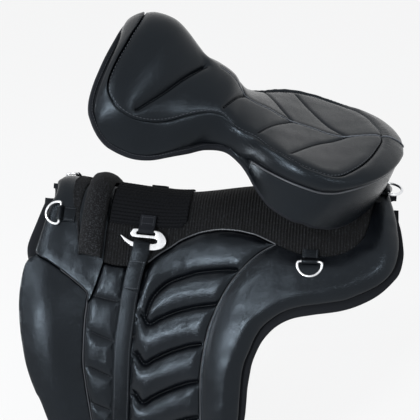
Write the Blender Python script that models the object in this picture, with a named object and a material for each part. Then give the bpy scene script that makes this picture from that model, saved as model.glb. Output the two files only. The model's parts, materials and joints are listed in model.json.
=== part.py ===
"""Treeless saddle with its quilted seat peeled up from the hook-and-loop field.

Metres, +Z up. The horse faces -X, so +X is the cantle end and -Y is the near (left) side.
The origin is on the underside of the spine channel, half way along the back.

Most pieces are sheets that follow one back surface. A place on it is given by x, by s, the
distance down the side from the spine, and by h, the height above the horse. Every layer
takes its h from the layer below it and a clearance.
"""

import math

import bmesh
import bpy
import numpy as np
from mathutils import Matrix, Vector
from mathutils.geometry import delaunay_2d_cdt

# Driving sizes of the whole saddle
SADDLE_LENGTH = 0.500
SIDE_DEPTH = 0.500
SPINE_RISE = 0.020
RIDGE_RADIUS = 0.045
BARREL_HALF_WIDTH = 0.200
BARREL_DROP = 0.096
PLY_GAP = 0.0005
SEAM_GAP = 0.0006

# Spacing of the points on inner lines, and the room they keep to an outline
EDGE_STEP = SADDLE_LENGTH / 26
SEAM_STEP = SADDLE_LENGTH / 20
VALLEY_STEP = SADDLE_LENGTH / 14
ROLL_STEP = SADDLE_LENGTH / 30
SEAT_GRID_STEP = SADDLE_LENGTH / 15
SEAT_GRID_ALONG = range(-9, 9)
SEAT_GRID_ACROSS = range(-4, 5)
GRID_EDGE_CLEARANCE = 1.5
GRID_SEAM_CLEARANCE = 1.6
LINE_MARGIN = SEAM_GAP * 6
WELD_DISTANCE = PLY_GAP / 50
ARC_STEPS = 900
SHARP_ANGLE_DEG = 35.0

# Limits where a moved outline or a strap turns sharply
FOLD_LIMIT = 0.2
MITRE_LIMIT = 0.45
STRAP_MITRE_LIMIT = 0.5

# Layer thicknesses, from the horse outwards
PANEL_THICK = 0.008
PANEL_ROLL = 0.010
CHANNEL_HALF_WIDTH = 0.020
CORE_THICK = 0.003
PAD_THICK = 0.0117
EDGE_ROLL = 0.026
SEAM_ROLL = 0.009
QUILT_DEPTH = 0.0062
QUILT_HALF_WIDTH = 0.010
VALLEY_DEPTH = 0.0045
KNEE_CREST = 0.031
KNEE_ROLL = 0.042

# Pommel and stirrup gear
ROLL_STRAP_WIDTH = 0.035
ROLL_STRAP_REACH = 0.087
ROLL_STRAP_CREST = 0.015
HOOK_STRIP_THICK = 0.0016
WEBBING_THICK = 0.0026
WEBBING_REACH = 0.043
STRAP_WIDTH = 0.025
STRAP_PLY = 0.0025
LOOP_PLY = 0.0014
LOOP_SEWN_LENGTH = 0.0125
STRAP_SEWN_LENGTH = 0.036
HANGER_THICK = 0.0035
HANGER_LENGTH = 0.067
HANGER_DEPTH = 0.029
HANGER_SLOT_LENGTH = 0.0285
HANGER_SLOT_WIDTH = 0.005
RING_INSIDE = 0.030
RING_REACH = 0.0205
RING_WIRE = 0.0038
CHAPE_PLY = 0.0014
CHAPE_WIDTH = 0.022
CHAPE_NECK = 0.0056
CHAPE_SEWN_LENGTH = 0.0028
BILLET_WIDTH = 0.025
BILLET_THICK = 0.003
BILLET_TAIL = 0.085
WIRE_SIDES = 6
PIPING_SIDES = 5
BOW_STEPS = 8
LOOP_STEPS = 7
FOLD_STEPS = 5
FOLD_SNUGNESS = 0.999
CORNER_CUT = 0.3
RING_DROOP_DEG = 3.0
REAR_RING_DROOP_DEG = 4.0

# Share of the full height that is kept at an edge or along a seam
PANEL_EDGE_KEPT = 0.55
FACING_EDGE_KEPT = 0.45
FACING_SEAM_KEPT = 0.75
KNEE_EDGE_KEPT = 0.30
FLAP_EDGE_KEPT = 0.62
SKIRT_EDGE_KEPT = 0.40
SKIRT_SEAM_KEPT = 0.72
SKIRT_TAIL_ROLL_SHARE = 0.15
ROLL_STRAP_EDGE_KEPT = 0.34
ROLL_RIDGE_SHARE = 0.7
CHANNEL_CLEARANCE = 1.2

# Seat
SEAT_TILT_DEG = 30.0
SEAT_REST_LIFT = 0.003
SEAT_STRAP_LIFT = 0.011
SEAT_ROLL_LIFT = 0.008
SEAT_RING_LIFT = 0.009
SEAT_STRAP_RAMP_SHARES = (0.04, 0.12)
SEAT_ROLL_RAMP_SHARES = (0.30, 0.08)
SEAT_RING_RAMP_SHARE = 0.05
RING_EASE_REACH = 0.045
HEM_HEIGHT = 0.010
HEM_WIDTH = 0.012
SEAT_TOP_RISE = 0.100
SEAT_ROLL = 0.013
SEAT_CHANNEL_DEPTH = 0.006
SEAT_CHANNEL_HALF_WIDTH = 0.008
GUSSET_THICK = 0.003
PIPING_RADIUS = 0.0016
TAB_THICK = 0.002
TAB_LENGTH = 0.026
TAB_HALF_WIDTH = 0.022

# Shape of the back: rise of the spine and slope of the sides along x
SPINE_X_SHARES = (-0.52, -0.33, -0.14, 0.06, 0.26, 0.52)
SPINE_Z_SHARES = (0.80, 0.15, -0.20, 0.50, 1.10, 1.30)
FRONT_SLOPE_SHARE = 1.40
REAR_SLOPE_SHARE = 0.66
SLOPE_SPAN_SHARES = (-0.40, 0.32)
ARC_STATION_SHARE = -0.10
X_STATION_SHARES = (-0.62, -0.56, -0.47, -0.38, -0.29, -0.20, -0.11, -0.02, 0.07, 0.16, 0.25, 0.34,
                    0.43, 0.52)
S_STATION_SHARES = (0.0, 0.028, 0.060, 0.096, 0.140, 0.190, 0.250, 0.320, 0.400, 0.490, 0.590,
                    0.700, 0.820, 0.940, 1.080)

# Outlines on the back, as shares of the plan length and of the side depth
FRONT_EDGE_SHARES = ((-0.522, 0.0), (-0.518, 0.032), (-0.526, 0.078), (-0.540, 0.134),
                     (-0.552, 0.182), (-0.548, 0.193))
KNEE_SEAM_SHARES = ((-0.548, 0.193), (-0.476, 0.222), (-0.430, 0.244), (-0.394, 0.266),
                    (-0.391, 0.292), (-0.394, 0.334), (-0.394, 0.398), (-0.392, 0.448),
                    (-0.382, 0.500), (-0.372, 0.546), (-0.360, 0.600), (-0.348, 0.660),
                    (-0.340, 0.720), (-0.336, 0.758))
KNEE_CORNER = 4
KNEE_OUTER_SHARES = ((-0.568, 0.200), (-0.582, 0.224), (-0.588, 0.270), (-0.588, 0.320),
                     (-0.580, 0.382), (-0.570, 0.428), (-0.560, 0.468), (-0.546, 0.506),
                     (-0.530, 0.540), (-0.512, 0.574), (-0.490, 0.622), (-0.464, 0.670),
                     (-0.436, 0.714), (-0.404, 0.744), (-0.370, 0.760))
FACING_SEAM_SHARES = ((-0.352, 0.186), (-0.362, 0.220), (-0.376, 0.264))
FIELD_FRONT_SHARE = -0.352
FIELD_EDGE_SHARES = ((-0.352, 0.186), (-0.320, 0.190), (-0.288, 0.190), (-0.250, 0.186),
                     (-0.218, 0.176), (-0.184, 0.152), (-0.154, 0.136), (-0.126, 0.120),
                     (-0.092, 0.109), (-0.058, 0.103), (-0.008, 0.104), (0.042, 0.116),
                     (0.074, 0.128), (0.100, 0.140), (0.132, 0.162), (0.154, 0.178),
                     (0.180, 0.198), (0.204, 0.213), (0.222, 0.222), (0.250, 0.230),
                     (0.278, 0.234), (0.296, 0.235), (0.318, 0.230), (0.344, 0.218),
                     (0.366, 0.200), (0.384, 0.176), (0.394, 0.152), (0.402, 0.124),
                     (0.408, 0.088), (0.418, 0.044), (0.422, 0.0))
FIELD_SEAM_INDEX = 15
REAR_SEAM_SHARES = ((0.154, 0.178), (0.118, 0.194), (0.088, 0.216), (0.062, 0.242),
                    (0.040, 0.268), (0.022, 0.296), (0.008, 0.326), (-0.004, 0.354),
                    (-0.016, 0.386), (-0.022, 0.420), (-0.028, 0.458), (-0.032, 0.500),
                    (-0.032, 0.542), (-0.030, 0.596), (-0.026, 0.660), (-0.020, 0.720),
                    (-0.016, 0.780), (-0.016, 0.856))
FLAP_FOOT_SHARES = ((-0.336, 0.758), (-0.328, 0.800), (-0.300, 0.840), (-0.250, 0.868),
                    (-0.180, 0.880), (-0.100, 0.880), (-0.040, 0.868), (-0.016, 0.856))
SKIRT_EDGE_SHARES = ((0.462, 0.0), (0.466, 0.024), (0.476, 0.070), (0.482, 0.120),
                     (0.486, 0.168), (0.484, 0.212), (0.474, 0.258), (0.454, 0.294),
                     (0.424, 0.324), (0.380, 0.352), (0.340, 0.372), (0.282, 0.384),
                     (0.230, 0.388), (0.186, 0.396), (0.154, 0.412), (0.128, 0.432),
                     (0.110, 0.462), (0.098, 0.494), (0.086, 0.528), (0.080, 0.572),
                     (0.078, 0.642), (0.076, 0.700), (0.066, 0.760), (0.044, 0.810),
                     (0.016, 0.840), (-0.016, 0.856))
PANEL_EDGE_SHARES = ((0.474, 0.0), (0.480, 0.040), (0.488, 0.080), (0.495, 0.120),
                     (0.500, 0.170), (0.501, 0.210), (0.492, 0.264), (0.472, 0.300),
                     (0.446, 0.334), (0.418, 0.360), (0.382, 0.384), (0.348, 0.400),
                     (0.308, 0.411), (0.256, 0.417), (0.202, 0.422), (0.162, 0.438),
                     (0.134, 0.464), (0.118, 0.490), (0.102, 0.534), (0.096, 0.576),
                     (0.092, 0.616), (0.091, 0.660), (0.088, 0.716), (0.076, 0.776),
                     (0.050, 0.828), (0.018, 0.860), (-0.040, 0.884), (-0.120, 0.900),
                     (-0.200, 0.896), (-0.280, 0.872), (-0.336, 0.830), (-0.366, 0.780),
                     (-0.430, 0.704), (-0.466, 0.652), (-0.494, 0.596), (-0.518, 0.536),
                     (-0.540, 0.476), (-0.556, 0.410), (-0.568, 0.340), (-0.574, 0.270),
                     (-0.576, 0.220), (-0.584, 0.188), (-0.583, 0.162), (-0.566, 0.108),
                     (-0.551, 0.054), (-0.548, 0.0))
CORE_SHARES = ((-0.428, 0.0), (-0.428, 0.400), (0.040, 0.400), (0.110, 0.366), (0.280, 0.336),
               (0.370, 0.306), (0.430, 0.240), (0.442, 0.160), (0.430, 0.0))
ARCH_SHARES = ((-0.505, 0.0), (-0.505, 0.120), (-0.520, 0.190), (-0.516, 0.320),
               (-0.470, 0.370), (-0.437, 0.370), (-0.437, 0.0))
BILLET_X_SHARES = (-0.200, -0.090)
BILLET_TOP_SHARE = 0.402
BILLET_FLEX_SHARE = 0.905
FIELD_END_SHARE = 0.192

# Sewn channels of the flap
ARC_CHANNEL_SHARES = ((-0.212, 0.318), (-0.206, 0.290), (-0.192, 0.264), (-0.172, 0.244),
                      (-0.144, 0.228), (-0.106, 0.220), (-0.068, 0.216), (-0.024, 0.220),
                      (0.020, 0.228), (0.050, 0.236))
CHEVRON_SHARES = ((-0.228, -0.028), (-0.204, 0.0), (-0.172, -0.012), (-0.132, -0.022),
                  (-0.096, -0.025), (-0.066, -0.024), (-0.036, -0.018))
CHEVRON_TOP_SHARE = 0.338
CHEVRON_PITCH_SHARE = 0.107
CHEVRON_COUNT = 5
CHEVRON_GROWTH_SHARE = 0.020
CHEVRON_SHIFT = 0.3
FIRST_CHEVRON_DROP_SHARE = 0.004
BAND_CHANNEL_TOP_SHARE = 0.272
BAND_CHANNEL_PITCH_SHARE = 0.091
BAND_CHANNEL_COUNT = 6
BAND_CHANNEL_FALL_SHARES = (0.008, 0.020, 0.024)
BAND_CHANNEL_X_SHARES = (-0.372, -0.298)
STRAP_LINE_SHARES = ((-0.240, 0.128), (-0.246, 0.172), (-0.258, 0.226), (-0.265, 0.278),
                     (-0.270, 0.342), (-0.274, 0.400), (-0.273, 0.464), (-0.272, 0.538),
                     (-0.272, 0.620), (-0.272, 0.700), (-0.272, 0.780), (-0.272, 0.860),
                     (-0.272, 0.930))

# Where the stirrup leather drops into its valley, and where it settles below its sewn fold
STRAP_DROP_SHARES = (0.0, 0.3, 0.6, 1.0)
STRAP_SETTLE_SHARES = (0.4, 0.8, 1.2)

# Pommel pieces
ROLL_STRAP_REAR_SHARE = -0.356
HOOK_STRIP_FRONT_SHARES = ((-0.474, 0.0), (-0.466, 0.040), (-0.450, 0.080), (-0.436, 0.120),
                           (-0.432, 0.150))
WEBBING_X_SHARES = (-0.346, -0.110)

# Hanger outline, as shares of its length and depth, from the centre of the plate
HANGER_SHARES = ((-0.30, -0.28), (-0.27, -0.45), (-0.20, -0.55), (0.27, -0.52), (0.42, -0.34),
                 (0.49, -0.04), (0.45, 0.24), (0.34, 0.40), (0.19, 0.46), (-0.06, 0.46),
                 (-0.21, 0.36), (-0.36, 0.18), (-0.46, -0.02), (-0.51, -0.18), (-0.40, -0.04),
                 (-0.28, 0.09), (-0.16, 0.15), (0.10, 0.16), (0.24, 0.14), (0.30, 0.05),
                 (0.24, -0.12), (-0.21, -0.14))
HANGER_X_SHARE = -0.236
HANGER_DROP_SHARE = 0.655
HANGER_SLOT_CENTRE_SHARE = 0.03
HANGER_SLOT_DROP_SHARE = -0.355
HANGER_ARM_TOP_SHARE = 0.15
HANGER_ARM_FOOT_SHARE = 0.46

# Rings: place of the bar's middle
FRONT_RING_SHARES = (-0.492, 0.086)
REAR_RING_SHARES = (0.250, 0.252)
TAIL_RING_X_SHARE = 0.455

# Seat outline, inner line and rim in the closed position
HEM_SHARES = ((-0.442, 0.0), (-0.440, 0.028), (-0.437, 0.058), (-0.432, 0.088), (-0.426, 0.118),
              (-0.416, 0.148), (-0.402, 0.170), (-0.386, 0.182), (-0.364, 0.194),
              (-0.336, 0.204), (-0.300, 0.210), (-0.238, 0.206), (-0.186, 0.190),
              (-0.140, 0.164), (-0.100, 0.140), (-0.060, 0.112), (-0.012, 0.102),
              (0.032, 0.120), (0.068, 0.148), (0.104, 0.184), (0.156, 0.226),
              (0.218, 0.252), (0.250, 0.252), (0.280, 0.248), (0.330, 0.218), (0.370, 0.170),
              (0.400, 0.110), (0.422, 0.050), (0.431, 0.027), (0.434, 0.0))
INNER_SHARES = ((-0.392, 0.0), (-0.392, 0.022), (-0.392, 0.048), (-0.394, 0.074), (-0.394, 0.106),
                (-0.394, 0.144), (-0.390, 0.180), (-0.378, 0.204), (-0.356, 0.220),
                (-0.332, 0.230), (-0.300, 0.232), (-0.262, 0.220), (-0.210, 0.190),
                (-0.158, 0.156), (-0.116, 0.136), (-0.076, 0.128), (-0.028, 0.136),
                (0.016, 0.154), (0.054, 0.188), (0.100, 0.218), (0.156, 0.240),
                (0.212, 0.244), (0.236, 0.237), (0.256, 0.222), (0.288, 0.180), (0.314, 0.124),
                (0.332, 0.062), (0.338, 0.036), (0.340, 0.018), (0.340, 0.0))
RIM_START = 17
RIM_SHARES = ((0.016, 0.150), (0.044, 0.178), (0.088, 0.218), (0.150, 0.248), (0.212, 0.258),
              (0.242, 0.255), (0.270, 0.246), (0.314, 0.220), (0.354, 0.176), (0.384, 0.116),
              (0.402, 0.056), (0.405, 0.030), (0.406, 0.0))
RIM_Z_SHARES = (0.20, 0.31, 0.40, 0.50, 0.59, 0.65, 0.73, 0.90, 1.05, 1.14, 1.18, 1.187, 1.19)
SEAT_X_SHARES = (-0.450, -0.394, -0.318, -0.194, -0.142, -0.092, -0.044, 0.036, 0.102, 0.164,
                 0.256, 0.290, 0.336, 0.371, 0.410)
SEAT_Z_SHARES = (0.80, 0.93, 1.006, 0.83, 0.81, 0.78, 0.66, 0.66, 0.68, 0.74, 0.89, 1.02, 1.19,
                 1.33, 1.40)
SEAT_ARCH_SHARE = 1.20
SEAT_ARCH_SPAN_SHARES = (-0.24, 0.12)
SEAT_ARCH_RADIUS = 0.050
SEAT_CROWN = 0.005
SEAT_LINE_SHARES = (((-0.186, 0.034), (-0.218, 0.090), (-0.250, 0.150), (-0.290, 0.212)),
                    ((-0.046, 0.008), (-0.066, 0.050), (-0.090, 0.112)),
                    ((0.102, 0.008), (0.058, 0.070), (0.022, 0.136)),
                    ((0.255, 0.008), (0.180, 0.090), (0.112, 0.196)))
ROLL_RING_SHARES = (0.22, 0.50, 0.78)
ROLL_SWELL_SHARE = 0.75

# Points closer than this share of the plan length are one point
MERGE_SHARE = 0.00001


# Plain geometry helpers

def smooth_step(value):
    """Ease from 0 to 1 while value runs from 0 to 1."""
    t = min(max(value, 0.0), 1.0)
    return t * t * (3.0 - 2.0 * t)


def between(shares_x, shares_z, x_share):
    """Smooth curve through a row of points, read at one x."""
    slopes = np.gradient(shares_z, shares_x)
    i = int(np.clip(np.searchsorted(shares_x, x_share) - 1, 0, len(shares_x) - 2))
    step = shares_x[i + 1] - shares_x[i]
    t = min(max((x_share - shares_x[i]) / step, 0.0), 1.0)
    return ((2 * t**3 - 3 * t * t + 1) * shares_z[i] + (t**3 - 2 * t * t + t) * step * slopes[i]
            + (-2 * t**3 + 3 * t * t) * shares_z[i + 1] + (t**3 - t * t) * step * slopes[i + 1])


def on_plan(shares):
    """Turn shares of the plan length and side depth into metres."""
    return [(x * SADDLE_LENGTH, s * SIDE_DEPTH) for x, s in shares]


def distance_to(line, x, s):
    """Distance on the sheet from a point to an open line of points."""
    a = np.array(line[:-1])
    b = np.array(line[1:])
    p = np.array((x, s))
    run = b - a
    t = np.clip(((p - a) * run).sum(1) / np.maximum((run * run).sum(1), PLY_GAP**2), 0.0, 1.0)
    return float(np.sqrt((((a + run * t[:, None]) - p)**2).sum(1).min()))


def signed_area(loop):
    """Area of a loop, positive where it runs counterclockwise."""
    return sum(a[0] * b[1] - b[0] * a[1] for a, b in zip(loop, loop[1:] + loop[:1])) / 2


def inset(loop, amount):
    """Move each corner of a loop inwards by an amount."""
    turn = 1.0 if signed_area(loop) > 0 else -1.0
    moved = []
    for i, here in enumerate(loop):
        before = Vector(here) - Vector(loop[i - 1])
        after = Vector(loop[(i + 1) % len(loop)]) - Vector(here)
        sides = [Vector((-d.y, d.x)).normalized() * turn for d in (before, after)]
        middle = sides[0] + sides[1]
        if middle.length < FOLD_LIMIT:
            middle = sides[1]
        middle.normalize()
        reach = amount / max(middle.dot(sides[0]), MITRE_LIMIT)
        moved.append((here[0] + middle.x * reach, here[1] + middle.y * reach))
    return moved


def spaced(line, spacing):
    """Read a line again at even steps, its two ends kept."""
    lengths = [math.dist(a, b) for a, b in zip(line, line[1:])]
    total = sum(lengths)
    count = max(1, round(total / spacing))
    marks = np.concatenate(([0.0], np.cumsum(lengths)))
    at = np.linspace(0.0, total, count + 1)
    return [tuple(float(np.interp(m, marks, [p[k] for p in line])) for k in (0, 1)) for m in at]


def mirrored_loop(half):
    """Close a half outline, that starts and ends on the spine, with its mirror image."""
    return half + [(x, -s) for x, s in reversed(half[1:-1])]


# The back surface, a lattice of flat facets that every layer shares

def spine_height(x):
    """Height of the spine at x."""
    return SPINE_RISE * between(SPINE_X_SHARES, SPINE_Z_SHARES, x / SADDLE_LENGTH)


def side_slope(x):
    """How steeply the sides fall away at x."""
    start, end = SLOPE_SPAN_SHARES
    t = smooth_step((x / SADDLE_LENGTH - start) / (end - start))
    return FRONT_SLOPE_SHARE + (REAR_SLOPE_SHARE - FRONT_SLOPE_SHARE) * t


def back_height(x, y):
    """Height of the horse's back under the saddle."""
    ridge = math.sqrt(y * y + RIDGE_RADIUS**2) - RIDGE_RADIUS
    return spine_height(x) - side_slope(x) * ridge - BARREL_DROP * (y / BARREL_HALF_WIDTH)**4


def side_arc():
    """Distance down the side against distance out from the spine, at one station."""
    out = np.linspace(0.0, 2.0 * BARREL_HALF_WIDTH, ARC_STEPS)
    x = ARC_STATION_SHARE * SADDLE_LENGTH
    down = np.array([back_height(x, y) for y in out])
    steps = np.hypot(np.diff(out), np.diff(down))
    return out, np.concatenate(([0.0], np.cumsum(steps)))


ARC_OUT, ARC_DOWN = side_arc()
X_STATIONS = [share * SADDLE_LENGTH for share in X_STATION_SHARES]
S_STATIONS = [share * SIDE_DEPTH for share in S_STATION_SHARES]


def back_point(x, s):
    """Point of the smooth back on the near side."""
    y = float(np.interp(s, ARC_DOWN, ARC_OUT))
    return Vector((x, -y, back_height(x, y)))


def back_normal(x, s):
    """Outward direction of the smooth back on the near side."""
    step = PLY_GAP
    along = back_point(x + step, s) - back_point(x - step, s)
    if s < step:
        return Vector((-along.z, 0.0, along.x)).normalized()
    down = back_point(x, s + step) - back_point(x, s - step)
    return down.cross(along).normalized()


LATTICE = [[(back_point(x, s), back_normal(x, s)) for s in S_STATIONS] for x in X_STATIONS]


def cell_of(stations, value):
    """Cell number and share within the cell."""
    i = int(np.clip(np.searchsorted(stations, value, side="right") - 1, 0, len(stations) - 2))
    return i, (value - stations[i]) / (stations[i + 1] - stations[i])


def facet_blend(x, s):
    """Corner points and weights of the facet that holds a place."""
    i, u = cell_of(X_STATIONS, x)
    j, v = cell_of(S_STATIONS, s)
    if u + v <= 1.0:
        return ((i, j, 1.0 - u - v), (i + 1, j, u), (i, j + 1, v))
    return ((i + 1, j + 1, u + v - 1.0), (i, j + 1, 1.0 - u), (i + 1, j, 1.0 - v))


def place(x, s, h):
    """Point at height h over the back, near side for positive s, off side for negative s.

    Where h is a function of x and s, it is read at the facet's corners.
    """
    point = Vector((0.0, 0.0, 0.0))
    for i, j, weight in facet_blend(x, abs(s)):
        base, outward = LATTICE[i][j]
        height = h(X_STATIONS[i], S_STATIONS[j]) if callable(h) else h
        point += (base + outward * height) * weight
    if s < 0:
        point.y = -point.y
    return point


def outward_at(x, s):
    """Outward direction at a place."""
    outward = Vector((0.0, 0.0, 0.0))
    for i, j, weight in facet_blend(x, abs(s)):
        outward += LATTICE[i][j][1] * weight
    if s < 0:
        outward.y = -outward.y
    return outward.normalized()


def frame_at(x, s, h):
    """Local axes at a place: X to the rear, Y down the side, Z outwards."""
    step = PANEL_THICK
    outward = outward_at(x, s)
    down = place(x, s + step, h) - place(x, s - step, h)
    down = (down - outward * down.dot(outward)).normalized()
    rear = outward.cross(down)
    frame = Matrix((rear, down, outward)).transposed().to_4x4()
    frame.translation = place(x, s, h)
    return frame


# Objects and materials

MATERIALS = {}


def finish(name, colour, roughness, metallic=0.0):
    """Plain material with one colour."""
    if name not in MATERIALS:
        made = bpy.data.materials.new(name)
        made.use_nodes = True
        shader = made.node_tree.nodes["Principled BSDF"]
        shader.inputs["Base Color"].default_value = (*colour, 1.0)
        shader.inputs["Roughness"].default_value = roughness
        shader.inputs["Metallic"].default_value = metallic
        MATERIALS[name] = made
    return MATERIALS[name]


def leather():
    return finish("black_leather", (0.020, 0.021, 0.025), 0.38)


def fabric():
    return finish("loop_fabric", (0.011, 0.011, 0.012), 0.95)


def webbing():
    return finish("webbing", (0.014, 0.014, 0.016), 0.80)


def lining():
    return finish("panel_lining", (0.024, 0.024, 0.026), 0.90)


def foam():
    return finish("foam", (0.045, 0.045, 0.048), 0.92)


def stiffener():
    return finish("stiffener", (0.055, 0.055, 0.060), 0.55)


def steel():
    return finish("bright_steel", (0.78, 0.78, 0.79), 0.18, 1.0)


def add_object(name, points, faces, material, origin=(0.0, 0.0, 0.0), smooth=True):
    """Make one object whose mesh is measured from its origin."""
    origin = Vector(origin)
    mesh = bpy.data.meshes.new(name)
    mesh.from_pydata([tuple(Vector(p) - origin) for p in points], [], faces)
    work = bmesh.new()
    work.from_mesh(mesh)
    bmesh.ops.remove_doubles(work, verts=work.verts, dist=WELD_DISTANCE)
    bmesh.ops.dissolve_degenerate(work, edges=work.edges, dist=WELD_DISTANCE)
    bmesh.ops.triangulate(work, faces=[f for f in work.faces if len(f.verts) > 4])
    bmesh.ops.recalc_face_normals(work, faces=work.faces)
    work.to_mesh(mesh)
    work.free()
    if smooth:
        mesh.shade_smooth()
        mesh.set_sharp_from_angle(angle=math.radians(SHARP_ANGLE_DEG))
    made = bpy.data.objects.new(name, mesh)
    made.location = origin
    made.data.materials.append(material)
    bpy.context.scene.collection.objects.link(made)
    return made


def flipped(points):
    """Points on the other side of the spine."""
    return [Vector((p[0], -p[1], p[2])) for p in points]


def add_pair(stem, points, faces, material, origin=(0.0, 0.0, 0.0), smooth=True):
    """Make the near-side piece and its mirror image."""
    add_object(stem + "_left", points, faces, material, origin, smooth)
    turned = [tuple(reversed(face)) for face in faces]
    add_object(stem + "_right", flipped(points), turned, material,
               flipped([origin])[0], smooth)


# Sheets: closed solids between two heights over one outline

def lattice_lines(loop):
    """Lattice edges near an outline, so that stacked sheets share their facets."""
    xs = [p[0] for p in loop]
    ss = [p[1] for p in loop]
    rows = sorted({sign * s for s in S_STATIONS for sign in (1, -1)})
    low_x = max(i for i, x in enumerate(X_STATIONS) if x <= min(xs) or i == 0)
    high_x = min(i for i, x in enumerate(X_STATIONS) if x >= max(xs) or i == len(X_STATIONS) - 1)
    low_s = max(j for j, s in enumerate(rows) if s <= min(ss) or j == 0)
    high_s = min(j for j, s in enumerate(rows) if s >= max(ss) or j == len(rows) - 1)
    points = []
    number = {}
    for i in range(low_x, high_x + 1):
        for j in range(low_s, high_s + 1):
            number[i, j] = len(points)
            points.append((X_STATIONS[i], rows[j]))
    edges = []
    for (i, j), here in number.items():
        if (i + 1, j) in number:
            edges.append((here, number[i + 1, j]))
        if (i, j + 1) in number:
            edges.append((here, number[i, j + 1]))
        if (i + 1, j + 1) in number:
            near_side = rows[j] >= 0
            a = (i + 1, j) if near_side else (i, j)
            b = (i, j + 1) if near_side else (i + 1, j + 1)
            edges.append((number[a], number[b]))
    return points, edges


def triangulate(loops, points, edges):
    """Fill a loop, less any holes after it, with triangles that keep all the given edges."""
    corners = []
    rings = []
    for loop in loops:
        rings.append(list(range(len(corners), len(corners) + len(loop))))
        corners += list(loop) if signed_area(list(loop)) > 0 else list(reversed(loop))
    everything = [Vector((p[0] / SADDLE_LENGTH, p[1] / SADDLE_LENGTH)) for p in corners + list(points)]
    count = len(corners)
    kept_edges = [(a + count, b + count) for a, b in edges]
    result = delaunay_2d_cdt(everything, kept_edges, rings, 0, MERGE_SHARE)
    found, faces, origins = result[0], result[2], result[5]
    holes = range(1, len(loops))
    inside = [tuple(f) for f, source in zip(faces, origins)
              if 0 in source and not any(k in source for k in holes)]
    used = sorted({v for f in inside for v in f})
    renumber = {old: new for new, old in enumerate(used)}
    flat = [(found[v].x * SADDLE_LENGTH, found[v].y * SADDLE_LENGTH) for v in used]
    return flat, [tuple(renumber[v] for v in f) for f in inside]


def boundary_of(faces):
    """Directed edges of triangles that have no neighbour."""
    seen = {(f[k], f[(k + 1) % 3]) for f in faces for k in range(3)}
    return [(a, b) for a, b in seen if (b, a) not in seen]


def edges_of(faces):
    """Every edge of the triangles, once."""
    return sorted({tuple(sorted((f[k], f[(k + 1) % 3]))) for f in faces for k in range(3)})


def ordered(border):
    """Follow directed border edges round to one loop."""
    following = dict(border)
    start = border[0][0]
    loop = [start]
    while following[loop[-1]] != start:
        loop.append(following[loop[-1]])
    return loop


def sheet(loop, low_point, high_point, lines=(), hole=None, follow=True):
    """Points and faces of a closed solid between two surfaces over an outline.

    Lines are kept as edges of the top. Without follow, the top keeps the lattice's points
    but not its edges.
    """
    loops = [loop] + ([hole] if hole else [])
    flat, faces = triangulate(loops, *lattice_lines(loop))
    top_flat, top_faces = flat, faces
    if lines:
        rim = ordered(boundary_of(faces))
        rim_flat = [flat[v] for v in rim]
        on_rim = set(rim)
        rest = [v for v in range(len(flat)) if v not in on_rim]
        points, kept = [flat[v] for v in rest], []
        if follow:
            number = {v: k for k, v in enumerate(rim + rest)}
            kept = [(number[a], number[b]) for a, b in edges_of(faces)]
            points = rim_flat + points
        else:
            clear = QUILT_HALF_WIDTH / 2
            points = [p for p in points if min(distance_to(line, *p) for line in lines) > clear]
        for line in lines:
            start = len(points)
            points += list(line)
            kept += [(start + k, start + k + 1) for k in range(len(line) - 1)]
        top_flat, top_faces = triangulate([rim_flat], points, kept)
    low = [low_point(x, s) for x, s in flat]
    high = [high_point(x, s) for x, s in top_flat]
    base = len(low)
    solid = [tuple(reversed(f)) for f in faces]
    solid += [tuple(v + base for v in f) for f in top_faces]
    match = matched(flat, boundary_of(faces), top_flat, boundary_of(top_faces))
    for a, b in boundary_of(faces):
        solid.append((a, b, match[b] + base, match[a] + base))
    return low + high, solid


def matched(flat, border, other_flat, other_border):
    """For each border point, the other border's point at the same place."""
    others = sorted({v for edge in other_border for v in edge})
    match = {}
    for v in sorted({v for edge in border for v in edge}):
        match[v] = min(others, key=lambda k: math.dist(other_flat[k], flat[v]))
    return match


def level(h):
    """Surface at one height over the back."""
    return lambda x, s: place(x, s, h)


def raised(height):
    """Surface whose height over the back is a function of the place."""
    return lambda x, s: place(x, s, height(x, s))


def rolled(distance, width, edge_share):
    """Share of the full height near an edge that curls down over a width."""
    t = min(max(distance / width, 0.0), 1.0)
    return edge_share + (1.0 - edge_share) * math.sqrt(max(0.0, 1.0 - (1.0 - t)**2))


def dip(distance, half_width):
    """Share of a channel's depth at a distance from its middle."""
    t = min(distance / half_width, 1.0)
    return (1.0 - t * t)**2


def ring_lines(loop, *amounts):
    """Closed lines inside an outline, for the faces of a rolled edge."""
    lines = []
    for amount in amounts:
        ring = inset(loop, amount)
        lines.append(spaced(ring + ring[:1], EDGE_STEP))
    return lines


PAD_LOW = PANEL_THICK + PLY_GAP + CORE_THICK + PLY_GAP
PAD_TOP = PAD_LOW + PAD_THICK
ON_TOP = PAD_TOP + PLY_GAP
STRAP_LINE = on_plan(STRAP_LINE_SHARES)
FIELD_EDGE = on_plan(FIELD_EDGE_SHARES)
KNEE_SEAM = on_plan(KNEE_SEAM_SHARES)
REAR_SEAM = on_plan(REAR_SEAM_SHARES)


# Layers next to the horse

def build_panels():
    """Two lined under-panels, one each side of the open spine channel."""
    half = on_plan(PANEL_EDGE_SHARES)
    clear = CHANNEL_HALF_WIDTH
    side = [p for p in half if p[1] > clear * CHANNEL_CLEARANCE]
    side = [(side[0][0], clear)] + side + [(side[-1][0], clear)]

    def height(x, s):
        edge = distance_to(side[1:-1], x, s)
        return PANEL_THICK * rolled(edge, PANEL_ROLL, PANEL_EDGE_KEPT)

    points, faces = sheet(side, level(0.0), raised(height))
    add_pair("under_panel", points, faces, lining())


def build_core():
    """Supple core that ties the two panels together over the spine."""
    loop = mirrored_loop(on_plan(CORE_SHARES))
    low = PANEL_THICK + PLY_GAP
    points, faces = sheet(loop, level(low), level(low + CORE_THICK))
    add_object("spine_core", points, faces, foam())


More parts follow.
